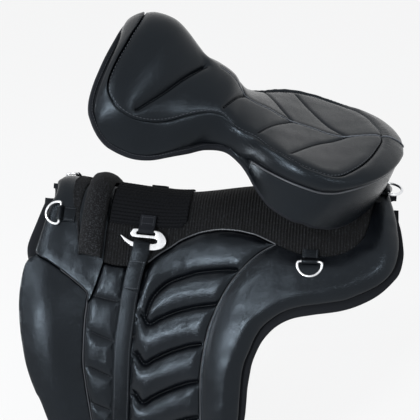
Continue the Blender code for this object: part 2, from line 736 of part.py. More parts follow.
def build_arch():
    """Springy pommel arch, the one stiff piece at the front."""
    loop = mirrored_loop(on_plan(ARCH_SHARES))
    low = PANEL_THICK + PLY_GAP
    points, faces = sheet(loop, level(low), level(low + CORE_THICK))
    add_object("pommel_arch", points, faces, stiffener())


def build_billets():
    """Two girth billets a side, sewn to the core and free below the flap."""
    low = PANEL_THICK + PLY_GAP
    flex = BILLET_FLEX_SHARE * SIDE_DEPTH
    half = BILLET_WIDTH / 2
    top = BILLET_TOP_SHARE * SIDE_DEPTH
    for name, share in zip(("front", "rear"), BILLET_X_SHARES):
        middle = share * SADDLE_LENGTH
        loop = [(middle - half, top), (middle + half, top), (middle + half, flex),
                (middle - half, flex)]
        points, faces = sheet(loop, level(low), level(low + BILLET_THICK))
        add_pair("billet_" + name, points, faces, leather())
        start = flex + SEAM_GAP
        tip = start + BILLET_TAIL
        shoulder = tip - half
        loop = [(middle - half, start), (middle + half, start), (middle + half, shoulder),
                (middle + half / 2, tip), (middle - half / 2, tip), (middle - half, shoulder)]
        points, faces = sheet(loop, level(low), level(low + BILLET_THICK))
        pivot = place(middle, start - SEAM_GAP / 2, low + BILLET_THICK)
        add_pair("billet_tail_" + name, points, faces, leather(), pivot)


def plate(outline, holes, thickness, frame):
    """Flat plate with holes, cut from an outline in the XY plane of local axes."""
    flat, inside = triangulate([outline] + holes, [], [])
    half = thickness / 2
    low = [frame @ Vector((u, w, -half)) for u, w in flat]
    high = [frame @ Vector((u, w, half)) for u, w in flat]
    base = len(low)
    solid = [tuple(reversed(f)) for f in inside] + [tuple(v + base for v in f) for f in inside]
    solid += [(a, b, b + base, a + base) for a, b in boundary_of(inside)]
    return low + high, solid


# The leather and fabric that the rider sees

def build_facing():
    """Smooth pommel facing that crosses the withers."""
    half = on_plan(FRONT_EDGE_SHARES) + KNEE_SEAM[1:KNEE_CORNER + 1]
    half += list(reversed(on_plan(FACING_SEAM_SHARES)))
    half += [(FIELD_FRONT_SHARE * SADDLE_LENGTH, 0.0)]
    loop = inset(mirrored_loop(half), SEAM_GAP / 2)
    front = on_plan(FRONT_EDGE_SHARES[:5])
    front = [(x, -s) for x, s in reversed(front)] + front[1:]
    seams = [KNEE_SEAM[:KNEE_CORNER + 1], [(x, -s) for x, s in KNEE_SEAM[:KNEE_CORNER + 1]]]

    def height(x, s):
        share = rolled(distance_to(front, x, s), EDGE_ROLL / 2, FACING_EDGE_KEPT)
        for seam in seams:
            share *= rolled(distance_to(seam, x, s), SEAM_ROLL, FACING_SEAM_KEPT)
        return PAD_LOW + PAD_THICK * share

    lines = []
    for amount in (EDGE_ROLL / 6, EDGE_ROLL / 2):
        line = spaced(beside(front, amount), EDGE_STEP)
        lines += inside_runs(line, loop, EDGE_ROLL / 9)
    points, faces = sheet(loop, level(PAD_LOW), raised(height), lines)
    add_object("pommel_facing", points, faces, leather())


def build_field():
    """Hook-and-loop field that the seat sticks to."""
    half = [(FIELD_FRONT_SHARE * SADDLE_LENGTH, 0.0)] + FIELD_EDGE
    loop = inset(mirrored_loop(half), SEAM_GAP / 2)
    points, faces = sheet(loop, level(PAD_LOW), level(PAD_TOP))
    add_object("seat_field", points, faces, fabric())


def build_knee_blocks():
    """Fat smooth knee roll along the front of each flap."""
    loop = KNEE_SEAM + list(reversed(on_plan(KNEE_OUTER_SHARES)))
    loop = inset(loop, SEAM_GAP / 2)

    def height(x, s):
        edge = distance_to(loop + loop[:1], x, s)
        return PAD_LOW + KNEE_CREST * rolled(edge, KNEE_ROLL, KNEE_EDGE_KEPT)

    lines = ring_lines(loop, KNEE_ROLL / 6, KNEE_ROLL / 2)
    points, faces = sheet(loop, level(PAD_LOW), raised(height), lines, follow=False)
    add_pair("knee_block", points, faces, leather())


def flap_channels():
    """Sewn channels of one flap: the arc, the chevrons and the front band's bars."""
    channels = [on_plan(ARC_CHANNEL_SHARES)]
    for number in range(CHEVRON_COUNT):
        drop = CHEVRON_TOP_SHARE + CHEVRON_PITCH_SHARE * number
        reach = CHEVRON_GROWTH_SHARE * min(number, 1) - 0.5 * CHEVRON_GROWTH_SHARE
        shares = [(x - reach * CHEVRON_SHIFT, s + drop) for x, s in CHEVRON_SHARES]
        if number == 0:
            shares[-1] = (0.0, shares[-1][1] + FIRST_CHEVRON_DROP_SHARE)
        channels.append(on_plan(shares))
    for number in range(BAND_CHANNEL_COUNT):
        fall = BAND_CHANNEL_FALL_SHARES[min(number, len(BAND_CHANNEL_FALL_SHARES) - 1)]
        top = BAND_CHANNEL_TOP_SHARE + BAND_CHANNEL_PITCH_SHARE * number
        channels.append(on_plan([(BAND_CHANNEL_X_SHARES[0], top),
                                 (sum(BAND_CHANNEL_X_SHARES) / 2, top + fall / 2),
                                 (BAND_CHANNEL_X_SHARES[1], top + fall)]))
    return channels


def beside(line, amount):
    """A line moved sideways on the sheet."""
    moved = []
    for i, here in enumerate(line):
        a = Vector(line[max(i - 1, 0)])
        b = Vector(line[min(i + 1, len(line) - 1)])
        run = (b - a).normalized()
        moved.append((here[0] + run.y * amount, here[1] - run.x * amount))
    return moved


def build_flaps():
    """Quilted flap with a valley for the stirrup leather."""
    loop = KNEE_SEAM[KNEE_CORNER:] + on_plan(FLAP_FOOT_SHARES)[1:-1]
    loop += list(reversed(REAR_SEAM)) + list(reversed(FIELD_EDGE[:FIELD_SEAM_INDEX]))
    loop += on_plan(FACING_SEAM_SHARES)[1:]
    loop = inset(loop, SEAM_GAP / 2)
    channels = flap_channels()
    closed = loop + loop[:1]
    valley = STRAP_LINE[1:]
    half_valley = STRAP_WIDTH / 2 + PLY_GAP * 4

    def height(x, s):
        share = rolled(distance_to(closed, x, s), SEAM_ROLL, FLAP_EDGE_KEPT)
        top = PAD_LOW + PAD_THICK * share
        away = distance_to(valley, x, s) - half_valley
        valley_share = 1.0 - smooth_step(away / (half_valley / 2))
        ditch = max(dip(distance_to(line, x, s), QUILT_HALF_WIDTH) for line in channels)
        return top - max(VALLEY_DEPTH * valley_share, QUILT_DEPTH * ditch * share)

    lines = list(channels)
    for line in channels:
        lines += [beside(line, QUILT_HALF_WIDTH), beside(line, -QUILT_HALF_WIDTH)]
    for reach in (half_valley, half_valley * 1.5):
        for side in (1, -1):
            lines.append(spaced(beside(valley[1:-1], side * reach), VALLEY_STEP))
    lines += ring_lines(loop, SEAM_ROLL)
    lines = [kept for line in lines for kept in inside_runs(line, loop, LINE_MARGIN)]
    points, faces = sheet(loop, level(PAD_LOW), raised(height), lines, follow=False)
    add_pair("flap", points, faces, leather())


def inside(loop, x, s):
    """Whether a place lies within a loop."""
    hit = False
    for (ax, ay), (bx, by) in zip(loop, loop[1:] + loop[:1]):
        if (ay > s) != (by > s) and x < (bx - ax) * (s - ay) / (by - ay) + ax:
            hit = not hit
    return hit


def inside_runs(line, loop, margin):
    """The stretches of a line that keep a margin inside a loop."""
    closed = list(loop) + [loop[0]]
    runs = [[]]
    for x, s in line:
        if inside(loop, x, s) and distance_to(closed, x, s) > margin:
            runs[-1].append((x, s))
        elif runs[-1]:
            runs.append([])
    return [run for run in runs if len(run) > 1]


def build_skirts():
    """Smooth padded rear skirt that runs down behind the quilting."""
    edge = on_plan(SKIRT_EDGE_SHARES)
    loop = edge + list(reversed(REAR_SEAM[:-1])) + FIELD_EDGE[FIELD_SEAM_INDEX + 1:]
    loop.append((edge[0][0] - EDGE_ROLL / 6, 0.0))
    loop = inset(loop, SEAM_GAP / 2)
    grown = 1.0 - SKIRT_TAIL_ROLL_SHARE

    def height(x, s):
        width = EDGE_ROLL * (SKIRT_TAIL_ROLL_SHARE + grown * smooth_step(s / (EDGE_ROLL * 3)))
        share = rolled(distance_to(edge, x, s), width, SKIRT_EDGE_KEPT)
        share *= rolled(distance_to(REAR_SEAM, x, s), SEAM_ROLL, SKIRT_SEAM_KEPT)
        return PAD_LOW + PAD_THICK * share

    lines = []
    for amount in (EDGE_ROLL / 6, EDGE_ROLL / 2, EDGE_ROLL):
        line = spaced(beside(edge, amount), EDGE_STEP)
        line[0] = (line[0][0], LINE_MARGIN * 1.1)
        lines += inside_runs(line, loop, LINE_MARGIN)
    lines += inside_runs(spaced(beside(REAR_SEAM, -SEAM_ROLL), SEAM_STEP), loop, LINE_MARGIN)
    points, faces = sheet(loop, level(PAD_LOW), raised(height), lines, follow=False)
    add_pair("rear_skirt", points, faces, leather())


# Pommel gear on top of the field and facing

def build_roll_strap():
    """Padded strap that crosses the withers."""
    rear = ROLL_STRAP_REAR_SHARE * SADDLE_LENGTH - PLY_GAP
    front = rear - ROLL_STRAP_WIDTH
    corner = ROLL_STRAP_WIDTH / 6
    half = [(front, 0.0), (front, ROLL_STRAP_REACH - corner), (front + corner, ROLL_STRAP_REACH),
            (rear - corner, ROLL_STRAP_REACH), (rear, ROLL_STRAP_REACH - corner), (rear, 0.0)]
    loop = mirrored_loop(half)
    closed = loop + loop[:1]
    roll = ROLL_STRAP_WIDTH / 2

    def height(x, s):
        return ON_TOP + ROLL_STRAP_CREST * rolled(distance_to(closed, x, s), roll, ROLL_STRAP_EDGE_KEPT)

    lines = []
    for amount in (roll / 4, roll * ROLL_RIDGE_SHARE):
        ring = inset(loop, amount)
        lines.append(spaced(ring + ring[:1], ROLL_STEP))
    points, faces = sheet(loop, level(ON_TOP), raised(height), lines, follow=False)
    add_object("pommel_strap", points, faces, fabric())


def build_hook_strip():
    """Flat strip of hook fabric in front of the padded strap."""
    rear = ROLL_STRAP_REAR_SHARE * SADDLE_LENGTH - PLY_GAP * 2 - ROLL_STRAP_WIDTH
    front = on_plan(HOOK_STRIP_FRONT_SHARES)
    half = front + [(rear, front[-1][1]), (rear, 0.0)]
    points, faces = sheet(mirrored_loop(half), level(ON_TOP), level(ON_TOP + HOOK_STRIP_THICK))
    add_object("hook_strip", points, faces, fabric())


def build_webbing():
    """Ribbed webbing bridge that carries both hangers."""
    front, rear = (share * SADDLE_LENGTH for share in WEBBING_X_SHARES)
    corner = WEBBING_REACH / 5
    half = [(front, 0.0), (front, WEBBING_REACH), (rear - corner, WEBBING_REACH),
            (rear, WEBBING_REACH - corner), (rear, 0.0)]
    points, faces = sheet(mirrored_loop(half), level(ON_TOP), level(ON_TOP + WEBBING_THICK))
    add_object("stirrup_webbing", points, faces, webbing())


# Straps and loops swept along a path

def swept(sections):
    """Closed solid through a row of sections with equal numbers of points."""
    size = len(sections[0])
    points = [p for section in sections for p in section]
    faces = [tuple(range(size - 1, -1, -1))]
    for k in range(len(sections) - 1):
        for r in range(size):
            n = (r + 1) % size
            a, b = k * size, (k + 1) * size
            faces.append((a + r, a + n, b + n, b + r))
    faces.append(tuple((len(sections) - 1) * size + r for r in range(size)))
    return points, faces


def strip(path, across, width, thickness):
    """Flat strap along a path; across gives the direction of its width."""
    sections = []
    for i, here in enumerate(path):
        run = (path[min(i + 1, len(path) - 1)] - path[max(i - 1, 0)]).normalized()
        side = (across[i] - run * across[i].dot(run)).normalized()
        up = side.cross(run)
        before = (here - path[i - 1]).normalized() if i else run
        bend = max(STRAP_MITRE_LIMIT, abs(before.dot(run)))
        sections.append(tuple(here + side * (u * width / 2) + up * (v * thickness / 2 / bend)
                              for u, v in ((-1, -1), (1, -1), (1, 1), (-1, 1))))
    return swept(sections)


def around(axes, middle, radius, head, tail, steps):
    """Path round a bar on the X axis: in over the top from head, out underneath to tail."""
    into = axes.inverted()
    first, last = into @ head, into @ tail
    start = math.atan2(first.z, first.y) % math.tau
    start -= math.acos(radius / math.hypot(first.y, first.z))
    end = math.atan2(last.z, last.y)
    if end > 0:
        end -= math.tau
    end += math.acos(radius / math.hypot(last.y, last.z))
    turn = [start + (end - start) * k / steps for k in range(steps + 1)]
    return [axes @ Vector((middle, math.cos(a) * radius, math.sin(a) * radius)) for a in turn]


def ring_path(width, reach, corner):
    """Middle line of a D ring: bar on the X axis, bow towards plus Y."""
    half = width / 2
    cut = corner * CORNER_CUT
    path = [Vector((-half + corner, 0.0, 0.0)), Vector((half - corner, 0.0, 0.0)),
            Vector((half - cut, cut, 0.0)), Vector((half, corner, 0.0))]
    for k in range(1, BOW_STEPS):
        a = math.pi * k / BOW_STEPS
        path.append(Vector((half * math.cos(a), corner + (reach - corner) * math.sin(a), 0.0)))
    path += [Vector((-half, corner, 0.0)), Vector((-half + cut, cut, 0.0))]
    return path


def tube_ring(path, radius, frame):
    """Closed round wire along a flat path in a frame's XY plane."""
    count, sides = len(path), WIRE_SIDES
    points = []
    for i, here in enumerate(path):
        run = (path[(i + 1) % count] - path[i - 1]).normalized()
        out = Vector((run.y, -run.x, 0.0))
        for k in range(sides):
            a = 2 * math.pi * (k + 0.5) / sides
            rise = Vector((0.0, 0.0, math.sin(a) * radius))
            points.append(frame @ (here + out * math.cos(a) * radius + rise))
    faces = []
    for i in range(count):
        j = (i + 1) % count
        for k in range(sides):
            n = (k + 1) % sides
            faces.append((i * sides + k, j * sides + k, j * sides + n, i * sides + n))
    return points, faces


RING_EYE = RING_WIRE / 2 + PLY_GAP
RING_LIFT = RING_EYE + CHAPE_PLY + PLY_GAP


def ring_and_chape(stem, x, s, heading, droop, pair):
    """D ring in its folded leather chape.

    The heading turns the ring about the outward direction: at 0 its bow hangs down the side.
    """
    axes = frame_at(x, s, PAD_TOP + RING_LIFT) @ Matrix.Rotation(heading, 4, "Z")
    width = RING_INSIDE + RING_WIRE
    tilted = axes @ Matrix.Rotation(-droop, 4, "X")
    points, faces = tube_ring(ring_path(width, RING_REACH, RING_WIRE), RING_WIRE / 2, tilted)
    low = PAD_TOP + PLY_GAP + CHAPE_PLY / 2
    high = low + CHAPE_PLY + PLY_GAP / 2
    back_x, back_s = math.sin(heading), -math.cos(heading)
    near, far = [(x + back_x * d, s + back_s * d)
                 for d in (CHAPE_NECK, CHAPE_NECK + CHAPE_SEWN_LENGTH)]
    radius = RING_EYE + CHAPE_PLY / 2
    path = [place(*far, high), place(*near, high)]
    path += around(axes, 0.0, radius, place(*near, high), place(*near, low),
                   LOOP_STEPS)
    path += [place(*near, low), place(*far, low)]
    across = [axes.col[0].to_3d()] * len(path)
    loop_points, loop_faces = strip(path, across, CHAPE_WIDTH, CHAPE_PLY)
    if pair:
        add_pair(stem + "_ring", points, faces, steel(), axes.translation)
        add_pair(stem + "_chape", loop_points, loop_faces, leather())
    else:
        add_object(stem + "_ring", points, faces, steel(), axes.translation)
        add_object(stem + "_chape", loop_points, loop_faces, leather())


def build_rings():
    """Two front rings, two rear rings and one tail ring, each in its chape."""
    x, s = FRONT_RING_SHARES[0] * SADDLE_LENGTH, FRONT_RING_SHARES[1] * SIDE_DEPTH
    ring_and_chape("front", x, s, math.radians(90.0), math.radians(RING_DROOP_DEG), True)
    x, s = REAR_RING_SHARES[0] * SADDLE_LENGTH, REAR_RING_SHARES[1] * SIDE_DEPTH
    ring_and_chape("rear", x, s, 0.0, math.radians(REAR_RING_DROOP_DEG), True)
    x = TAIL_RING_X_SHARE * SADDLE_LENGTH
    ring_and_chape("tail", x, 0.0, math.radians(-90.0), math.radians(RING_DROOP_DEG), False)


HANGER_LIFT = HANGER_THICK / 2 + PLY_GAP * 2 + STRAP_PLY + PLY_GAP * 2
HANGER_X = HANGER_X_SHARE * SADDLE_LENGTH
HANGER_S = WEBBING_REACH + HANGER_DROP_SHARE * HANGER_DEPTH


def hanger_frame():
    """Frame of the near hanger plate, which hangs a set drop below the webbing's end."""
    return frame_at(HANGER_X, HANGER_S, PAD_TOP + HANGER_LIFT)


def build_hangers():
    """Open steel hook on a webbing loop, and the stirrup leather folded over its arm."""
    frame = hanger_frame()
    outline = [(u * HANGER_LENGTH, w * HANGER_DEPTH) for u, w in HANGER_SHARES]
    drop = HANGER_SLOT_DROP_SHARE * HANGER_DEPTH
    middle = HANGER_SLOT_CENTRE_SHARE * HANGER_LENGTH
    half = HANGER_SLOT_LENGTH / 2
    rise = HANGER_SLOT_WIDTH / 2
    cut = rise / 2
    slot = [(middle - half, drop - rise + cut), (middle - half + cut, drop - rise),
            (middle + half - cut, drop - rise), (middle + half, drop - rise + cut),
            (middle + half, drop + rise - cut), (middle + half - cut, drop + rise),
            (middle - half + cut, drop + rise), (middle - half, drop + rise - cut)]
    points, faces = plate(outline, [slot], HANGER_THICK, frame)
    top = min(w for u, w in HANGER_SHARES) * HANGER_DEPTH
    bar = frame @ Matrix.Translation((0.0, (top + drop - rise) / 2, 0.0))
    add_pair("hanger", points, faces, steel(), bar.translation)
    thick = (drop - rise - top) / 2
    radius = math.hypot(HANGER_THICK / 2, thick) + PLY_GAP + LOOP_PLY / 2
    x = HANGER_X + middle
    low = ON_TOP + WEBBING_THICK + PLY_GAP + LOOP_PLY / 2
    high = low + LOOP_PLY + PLY_GAP / 2
    ends = (WEBBING_REACH - LOOP_SEWN_LENGTH, WEBBING_REACH)
    path = [place(x, s, high) for s in ends]
    path += around(bar, middle, radius, path[-1], place(x, ends[1], low), LOOP_STEPS)
    path += [place(x, s, low) for s in reversed(ends)]
    across = [frame.col[0].to_3d()] * len(path)
    points, faces = strip(path, across, STRAP_WIDTH - PLY_GAP * 4, LOOP_PLY)
    add_pair("hanger_loop", points, faces, webbing())


def leather_height(s):
    """Height of the stirrup leather's lower ply: over the field, then down in the valley."""
    edge = FIELD_END_SHARE * SIDE_DEPTH
    return PAD_TOP + PLY_GAP * 2 + STRAP_PLY / 2 - VALLEY_DEPTH * smooth_step((s - edge) / STRAP_WIDTH)


def strap_place(s):
    """Place of the stirrup leather's middle at a distance down the side."""
    return float(np.interp(s, [p[1] for p in STRAP_LINE], [p[0] for p in STRAP_LINE])), s


def build_stirrup_leathers():
    """Stirrup leather, folded over the hanger's arm and sewn back to itself."""
    frame = hanger_frame()
    arm_top = HANGER_ARM_TOP_SHARE * HANGER_DEPTH
    arm_foot = HANGER_ARM_FOOT_SHARE * HANGER_DEPTH + STRAP_PLY
    middle = STRAP_LINE[0][0] - HANGER_X
    radius = HANGER_THICK / 2 + PLY_GAP + STRAP_PLY / 2
    start = HANGER_S + arm_foot + STRAP_PLY * 4
    sewn = start + STRAP_SEWN_LENGTH
    edge = FIELD_END_SHARE * SIDE_DEPTH
    rows = sorted([start, sewn] + [s for s in S_STATIONS if start < s < sewn]
                  + [edge + STRAP_WIDTH * share for share in STRAP_DROP_SHARES])
    back = [place(*strap_place(s), leather_height(s)) for s in reversed(rows)]
    turned = frame @ Matrix.Translation((0.0, arm_top, 0.0)) @ Matrix.Rotation(math.pi, 4, "X")
    low = frame @ Vector((middle, arm_foot, -radius))
    high = frame @ Vector((middle, arm_foot, radius))
    snug = radius * FOLD_SNUGNESS
    bend = [low] + around(turned, middle, snug, low, high, FOLD_STEPS) + [high]
    second = STRAP_PLY + PLY_GAP * 2
    front = [place(*strap_place(s), leather_height(s) + second) for s in rows]
    path = back + bend + front
    across = [frame.col[0].to_3d()] * len(path)
    width = STRAP_WIDTH - PLY_GAP * 2
    points, faces = strip(path, across, width, STRAP_PLY)
    add_pair("stirrup_fold", points, faces, leather())

    foot = STRAP_LINE[-1][1]
    top = sewn + SEAM_GAP
    settled = [top + STRAP_WIDTH * share for share in STRAP_SETTLE_SHARES]
    rows = sorted([top, foot] + settled
                  + [s for s in S_STATIONS if settled[-1] + STRAP_PLY < s < foot - STRAP_PLY])
    path = []
    for s in rows:
        over = 1.0 - smooth_step((s - top) / (settled[-1] - top))
        path.append(place(*strap_place(s), leather_height(s) + second * over))
    points, faces = strip(path, [frame.col[0].to_3d()] * len(path), width, STRAP_PLY)
    pivot = place(*strap_place(top), leather_height(top) + second + STRAP_PLY / 2)
    add_pair("stirrup_leather", points, faces, leather(), pivot)


# The seat, modelled closed and then turned up about its rear hem

def seat_pivot():
    """Point on the seat's hinge line at the rear end of its hem."""
    x = HEM_SHARES[-1][0] * SADDLE_LENGTH + PLY_GAP
    return place(x, 0.0, PAD_TOP + SEAT_REST_LIFT)


def lifted(points):
    """Turn the closed seat nose up into its shown position."""
    pivot = seat_pivot()
    turn = Matrix.Rotation(math.radians(SEAT_TILT_DEG), 3, "Y")
    return [pivot + turn @ (Vector(p) - pivot) for p in points]


def add_seat(name, points, faces, material, smooth=True):
    """Make one piece of the seat with its origin on the hinge line."""
    return add_object(name, lifted(points), faces, material, seat_pivot(), smooth)


def seat_low(x, s):
    """Height over the back of the seat's underside, eased up over the gear beneath it."""
    share = x / SADDLE_LENGTH
    start, length = SEAT_STRAP_RAMP_SHARES
    over_strap = smooth_step((-share - start) / length)
    start, length = SEAT_ROLL_RAMP_SHARES
    over_roll = smooth_step((-share - start) / length)
    along = max(0.0, 1.0 - abs(share - REAR_RING_SHARES[0]) * SADDLE_LENGTH / RING_EASE_REACH)
    over_ring = along * smooth_step((s / SIDE_DEPTH - FIELD_END_SHARE) / SEAT_RING_RAMP_SHARE)
    return (PAD_TOP + SEAT_REST_LIFT + SEAT_STRAP_LIFT * over_strap + SEAT_ROLL_LIFT * over_roll
            + SEAT_RING_LIFT * over_ring)


def seat_layer(extra):
    """Surface of the seat at a height above its underside."""
    return lambda x, s: place(x, s, lambda at_x, at_s: seat_low(at_x, at_s) + extra)


def seat_top(x, y):
    """Height of the seat's middle field at a point of its plan."""
    along = SEAT_TOP_RISE * between(SEAT_X_SHARES, SEAT_Z_SHARES, x / SADDLE_LENGTH)
    start, end = SEAT_ARCH_SPAN_SHARES
    arch = SEAT_ARCH_SHARE * (1.0 - smooth_step((x / SADDLE_LENGTH - start) / (end - start)))
    return along - arch * (math.sqrt(y * y + SEAT_ARCH_RADIUS**2) - SEAT_ARCH_RADIUS)


def seat_outline():
    """Outline of the seat's hem on the back."""
    return mirrored_loop(on_plan(HEM_SHARES))


def build_seat_base():
    """Flexible base faced with hook fabric, and the bound hem band round it."""
    hem = seat_outline()
    points, faces = sheet(inset(hem, HEM_WIDTH + SEAM_GAP), seat_layer(0.0), seat_layer(HEM_HEIGHT))
    add_seat("seat_base", points, faces, fabric())
    points, faces = sheet(hem, seat_layer(0.0), seat_layer(HEM_HEIGHT), hole=inset(hem, HEM_WIDTH))
    add_seat("seat_hem", points, faces, lining())


def rim_line():
    """Lower edge of the seat's roll behind the waist, raised on the gusset."""
    return [Vector((x * SADDLE_LENGTH, -y * SADDLE_LENGTH, z * SEAT_TOP_RISE))
            for (x, y), z in zip(RIM_SHARES, RIM_Z_SHARES)]


def whole_ring(half):
    """Close a half ring of points, that starts and ends on the spine, with its mirror image."""
    half = [p.copy() for p in half]
    half[0].y = 0.0
    half[-1].y = 0.0
    return half + flipped(reversed(half[1:-1]))


def outward_in_plan(line, k):
    """Horizontal direction away from the seat's middle, square to a line of points."""
    before, after = line[max(k - 1, 0)], line[min(k + 1, len(line) - 1)]
    out = Vector((after.y - before.y, before.x - after.x, 0.0)).normalized()
    return -out if out.y > 0 else out


def cushion_rings():
    """Rings of the cushion's side, from its foot up to its inner sewn line."""
    hem = on_plan(HEM_SHARES)
    rim = rim_line()
    clear = GUSSET_THICK + SEAM_GAP * 2
    inner_hem = inset(mirrored_loop(hem), clear)[:len(hem)]
    plan_foot = [hem[k] if k <= RIM_START else inner_hem[k] for k in range(len(hem))]
    foot = [seat_layer(HEM_HEIGHT + PLY_GAP * 8)(x, s) for x, s in plan_foot]
    edge = foot[:RIM_START] + rim
    ledge = []
    for k, point in enumerate(foot):
        if k > RIM_START:
            point = edge[k] - outward_in_plan(edge, k) * clear
        ledge.append(point)
    inner = [Vector((x, -y, seat_top(x, y))) for x, y in on_plan(INNER_SHARES)]
    rings = [whole_ring(ledge), whole_ring(edge)]
    for share in ROLL_RING_SHARES:
        swell = math.sin(math.pi * share) * SEAT_ROLL * ROLL_SWELL_SHARE
        ring = []
        for k, (low, high) in enumerate(zip(edge, inner)):
            out = outward_in_plan(edge, k)
            ring.append(low.lerp(high, share) + out * swell + Vector((0.0, 0.0, swell)))
        rings.append(whole_ring(ring))
    return mirrored_loop(plan_foot), rings + [whole_ring(inner)]


def quilt_lines():
    """Sewn channels of the seat's middle field, both sides."""
    lines = []
    for shares in SEAT_LINE_SHARES:
        line = spaced([(x * SADDLE_LENGTH, y * SADDLE_LENGTH) for x, y in shares], SEAM_STEP)
        lines += [line, [(x, -y) for x, y in line]]
    return lines


def build_seat_cushion():
    """Quilted leather seat: rolled edge, inner sewn line and channels, flat on its base."""
    plan_foot, rings = cushion_rings()
    count = len(plan_foot)
    points = [p for ring in rings for p in ring]
    faces = []
    for r in range(len(rings) - 1):
        for k in range(count):
            n = (k + 1) % count
            low, high = r * count, (r + 1) * count
            faces.append((low + k, low + n, high + n, high + k))

    top_loop = [(p.x, p.y) for p in rings[-1]]
    closed = top_loop + top_loop[:1]
    channels = quilt_lines()

    def top_height(x, y):
        crown = SEAT_CROWN * rolled(distance_to(closed, x, y), SEAT_ROLL, 0.0)
        ditch = max(dip(distance_to(line, x, y), SEAT_CHANNEL_HALF_WIDTH) for line in channels)
        return seat_top(x, y) + crown - SEAT_CHANNEL_DEPTH * ditch

    lines = list(channels)
    for line in channels:
        lines += [beside(line, side * SEAT_CHANNEL_HALF_WIDTH) for side in (-1, 1)]
    lines += ring_lines(top_loop, SEAT_ROLL)
    lines = [run for line in lines for run in inside_runs(line, top_loop, LINE_MARGIN)]
    kept, kept_edges = [], []
    for line in lines:
        start = len(kept)
        kept += line
        kept_edges += [(start + k, start + k + 1) for k in range(len(line) - 1)]
    edge_clear = SEAT_ROLL * GRID_EDGE_CLEARANCE
    seam_clear = SEAT_CHANNEL_HALF_WIDTH * GRID_SEAM_CLEARANCE
    for i in SEAT_GRID_ALONG:
        for j in SEAT_GRID_ACROSS:
            spot = (i * SEAT_GRID_STEP, j * SEAT_GRID_STEP)
            if inside(top_loop, *spot) and distance_to(closed, *spot) > edge_clear:
                if min(distance_to(line, *spot) for line in channels) > seam_clear:
                    kept.append(spot)
    flat, top_faces = triangulate([top_loop], kept, kept_edges)
    number = {}
    ring_start = (len(rings) - 1) * count
    for v, near in matched(flat, boundary_of(top_faces), top_loop,
                           [(k, (k + 1) % count) for k in range(count)]).items():
        number[v] = ring_start + near
    for v, (x, y) in enumerate(flat):
        if v not in number:
            number[v] = len(points)
            points.append(Vector((x, y, top_height(x, y))))
    faces += [tuple(number[v] for v in f) for f in top_faces]

    flat, low_faces = triangulate([plan_foot], *lattice_lines(plan_foot))
    start = len(points)
    points += [seat_layer(HEM_HEIGHT + PLY_GAP)(x, s) for x, s in flat]
    faces += [tuple(v + start for v in f) for f in low_faces]
    loop = ordered(boundary_of(low_faces))
    at = matched(plan_foot, [(k, (k + 1) % count) for k in range(count)], flat,
                 boundary_of(low_faces))
    if (loop.index(at[1]) - loop.index(at[0])) % len(loop) > len(loop) / 2:
        loop.reverse()
    for k in range(count):
        n = (k + 1) % count
        chain = [loop[loop.index(at[k])]]
        while chain[-1] != at[n]:
            chain.append(loop[(loop.index(chain[-1]) + 1) % len(loop)])
        faces += [(k, b + start, a + start) for a, b in zip(chain, chain[1:])]
        faces.append((k, n, chain[-1] + start))
    add_seat("seat_cushion", points, faces, leather())


def build_gusset():
    """Smooth leather wall between the hem and the rim of the cantle."""
    loop = seat_outline()
    thin = inset(loop, GUSSET_THICK)
    up = seat_layer(HEM_HEIGHT + PLY_GAP * 2)
    rim = rim_line()
    drop = Vector((0.0, 0.0, (PLY_GAP + PIPING_RADIUS) * 2))
    sections = []
    for k in range(RIM_START + 1, len(HEM_SHARES)):
        place_in_rim = k - RIM_START
        head = rim[place_in_rim] - drop
        into = -outward_in_plan(rim, place_in_rim) * GUSSET_THICK
        sections.append((up(*loop[k]), head, head + into, up(*thin[k])))
    sections += [tuple(flipped(section)) for section in reversed(sections[:-1])]
    points = [p for section in sections for p in section]
    last = 4 * (len(sections) - 1)
    faces = [(0, 1, 2, 3), (last + 3, last + 2, last + 1, last)]
    for here in range(0, last, 4):
        foot, head, head_in, foot_in = (here + r for r in range(4))
        then = [here + 4 + r for r in range(4)]
        faces += [(foot, then[0], head), (head, then[0], then[1]), (head, then[1], then[2], head_in),
                  (head_in, then[3], foot_in), (head_in, then[2], then[3]),
                  (foot_in, then[3], then[0], foot)]
    add_seat("cantle_gusset", points, faces, leather())


def build_rim_piping():
    """Cord between the rim of the cushion and the gusset."""
    rim = rim_line()[1:]
    path = [p - Vector((0.0, 0.0, PLY_GAP + PIPING_RADIUS)) for p in rim]
    path = path + flipped(reversed(path[:-1]))
    sections = []
    for k, here in enumerate(path):
        run = (path[min(k + 1, len(path) - 1)] - path[max(k - 1, 0)]).normalized()
        side = run.cross(Vector((0.0, 0.0, 1.0))).normalized()
        up = side.cross(run)
        turn = [math.tau * r / PIPING_SIDES for r in range(PIPING_SIDES)]
        sections.append(tuple(here + (side * math.cos(a) + up * math.sin(a)) * PIPING_RADIUS
                              for a in turn))
    points, faces = swept(sections)
    add_seat("rim_piping", points, faces, leather())


def build_tab():
    """Hook tab under the rear hem that stays stuck to the field."""
    rear = HEM_SHARES[-1][0] * SADDLE_LENGTH
    front = rear - TAB_LENGTH
    loop = [(front, TAB_HALF_WIDTH), (rear, TAB_HALF_WIDTH), (rear, -TAB_HALF_WIDTH),
            (front, -TAB_HALF_WIDTH)]
    points, faces = sheet(loop, level(ON_TOP), level(ON_TOP + TAB_THICK))
    add_object("cantle_hook_tab", points, faces, fabric(), seat_pivot())


def main():
    for old in list(bpy.data.objects):
        bpy.data.objects.remove(old, do_unlink=True)
    build_panels()
    build_core()
    build_arch()
    build_billets()
    build_facing()
    build_field()
    build_knee_blocks()
    build_flaps()
    build_skirts()
    build_roll_strap()
    build_hook_strip()
    build_webbing()
    build_rings()
    build_hangers()
    build_stirrup_leathers()
    build_seat_base()
    build_seat_cushion()
    build_gusset()
    build_rim_piping()
    build_tab()


main()
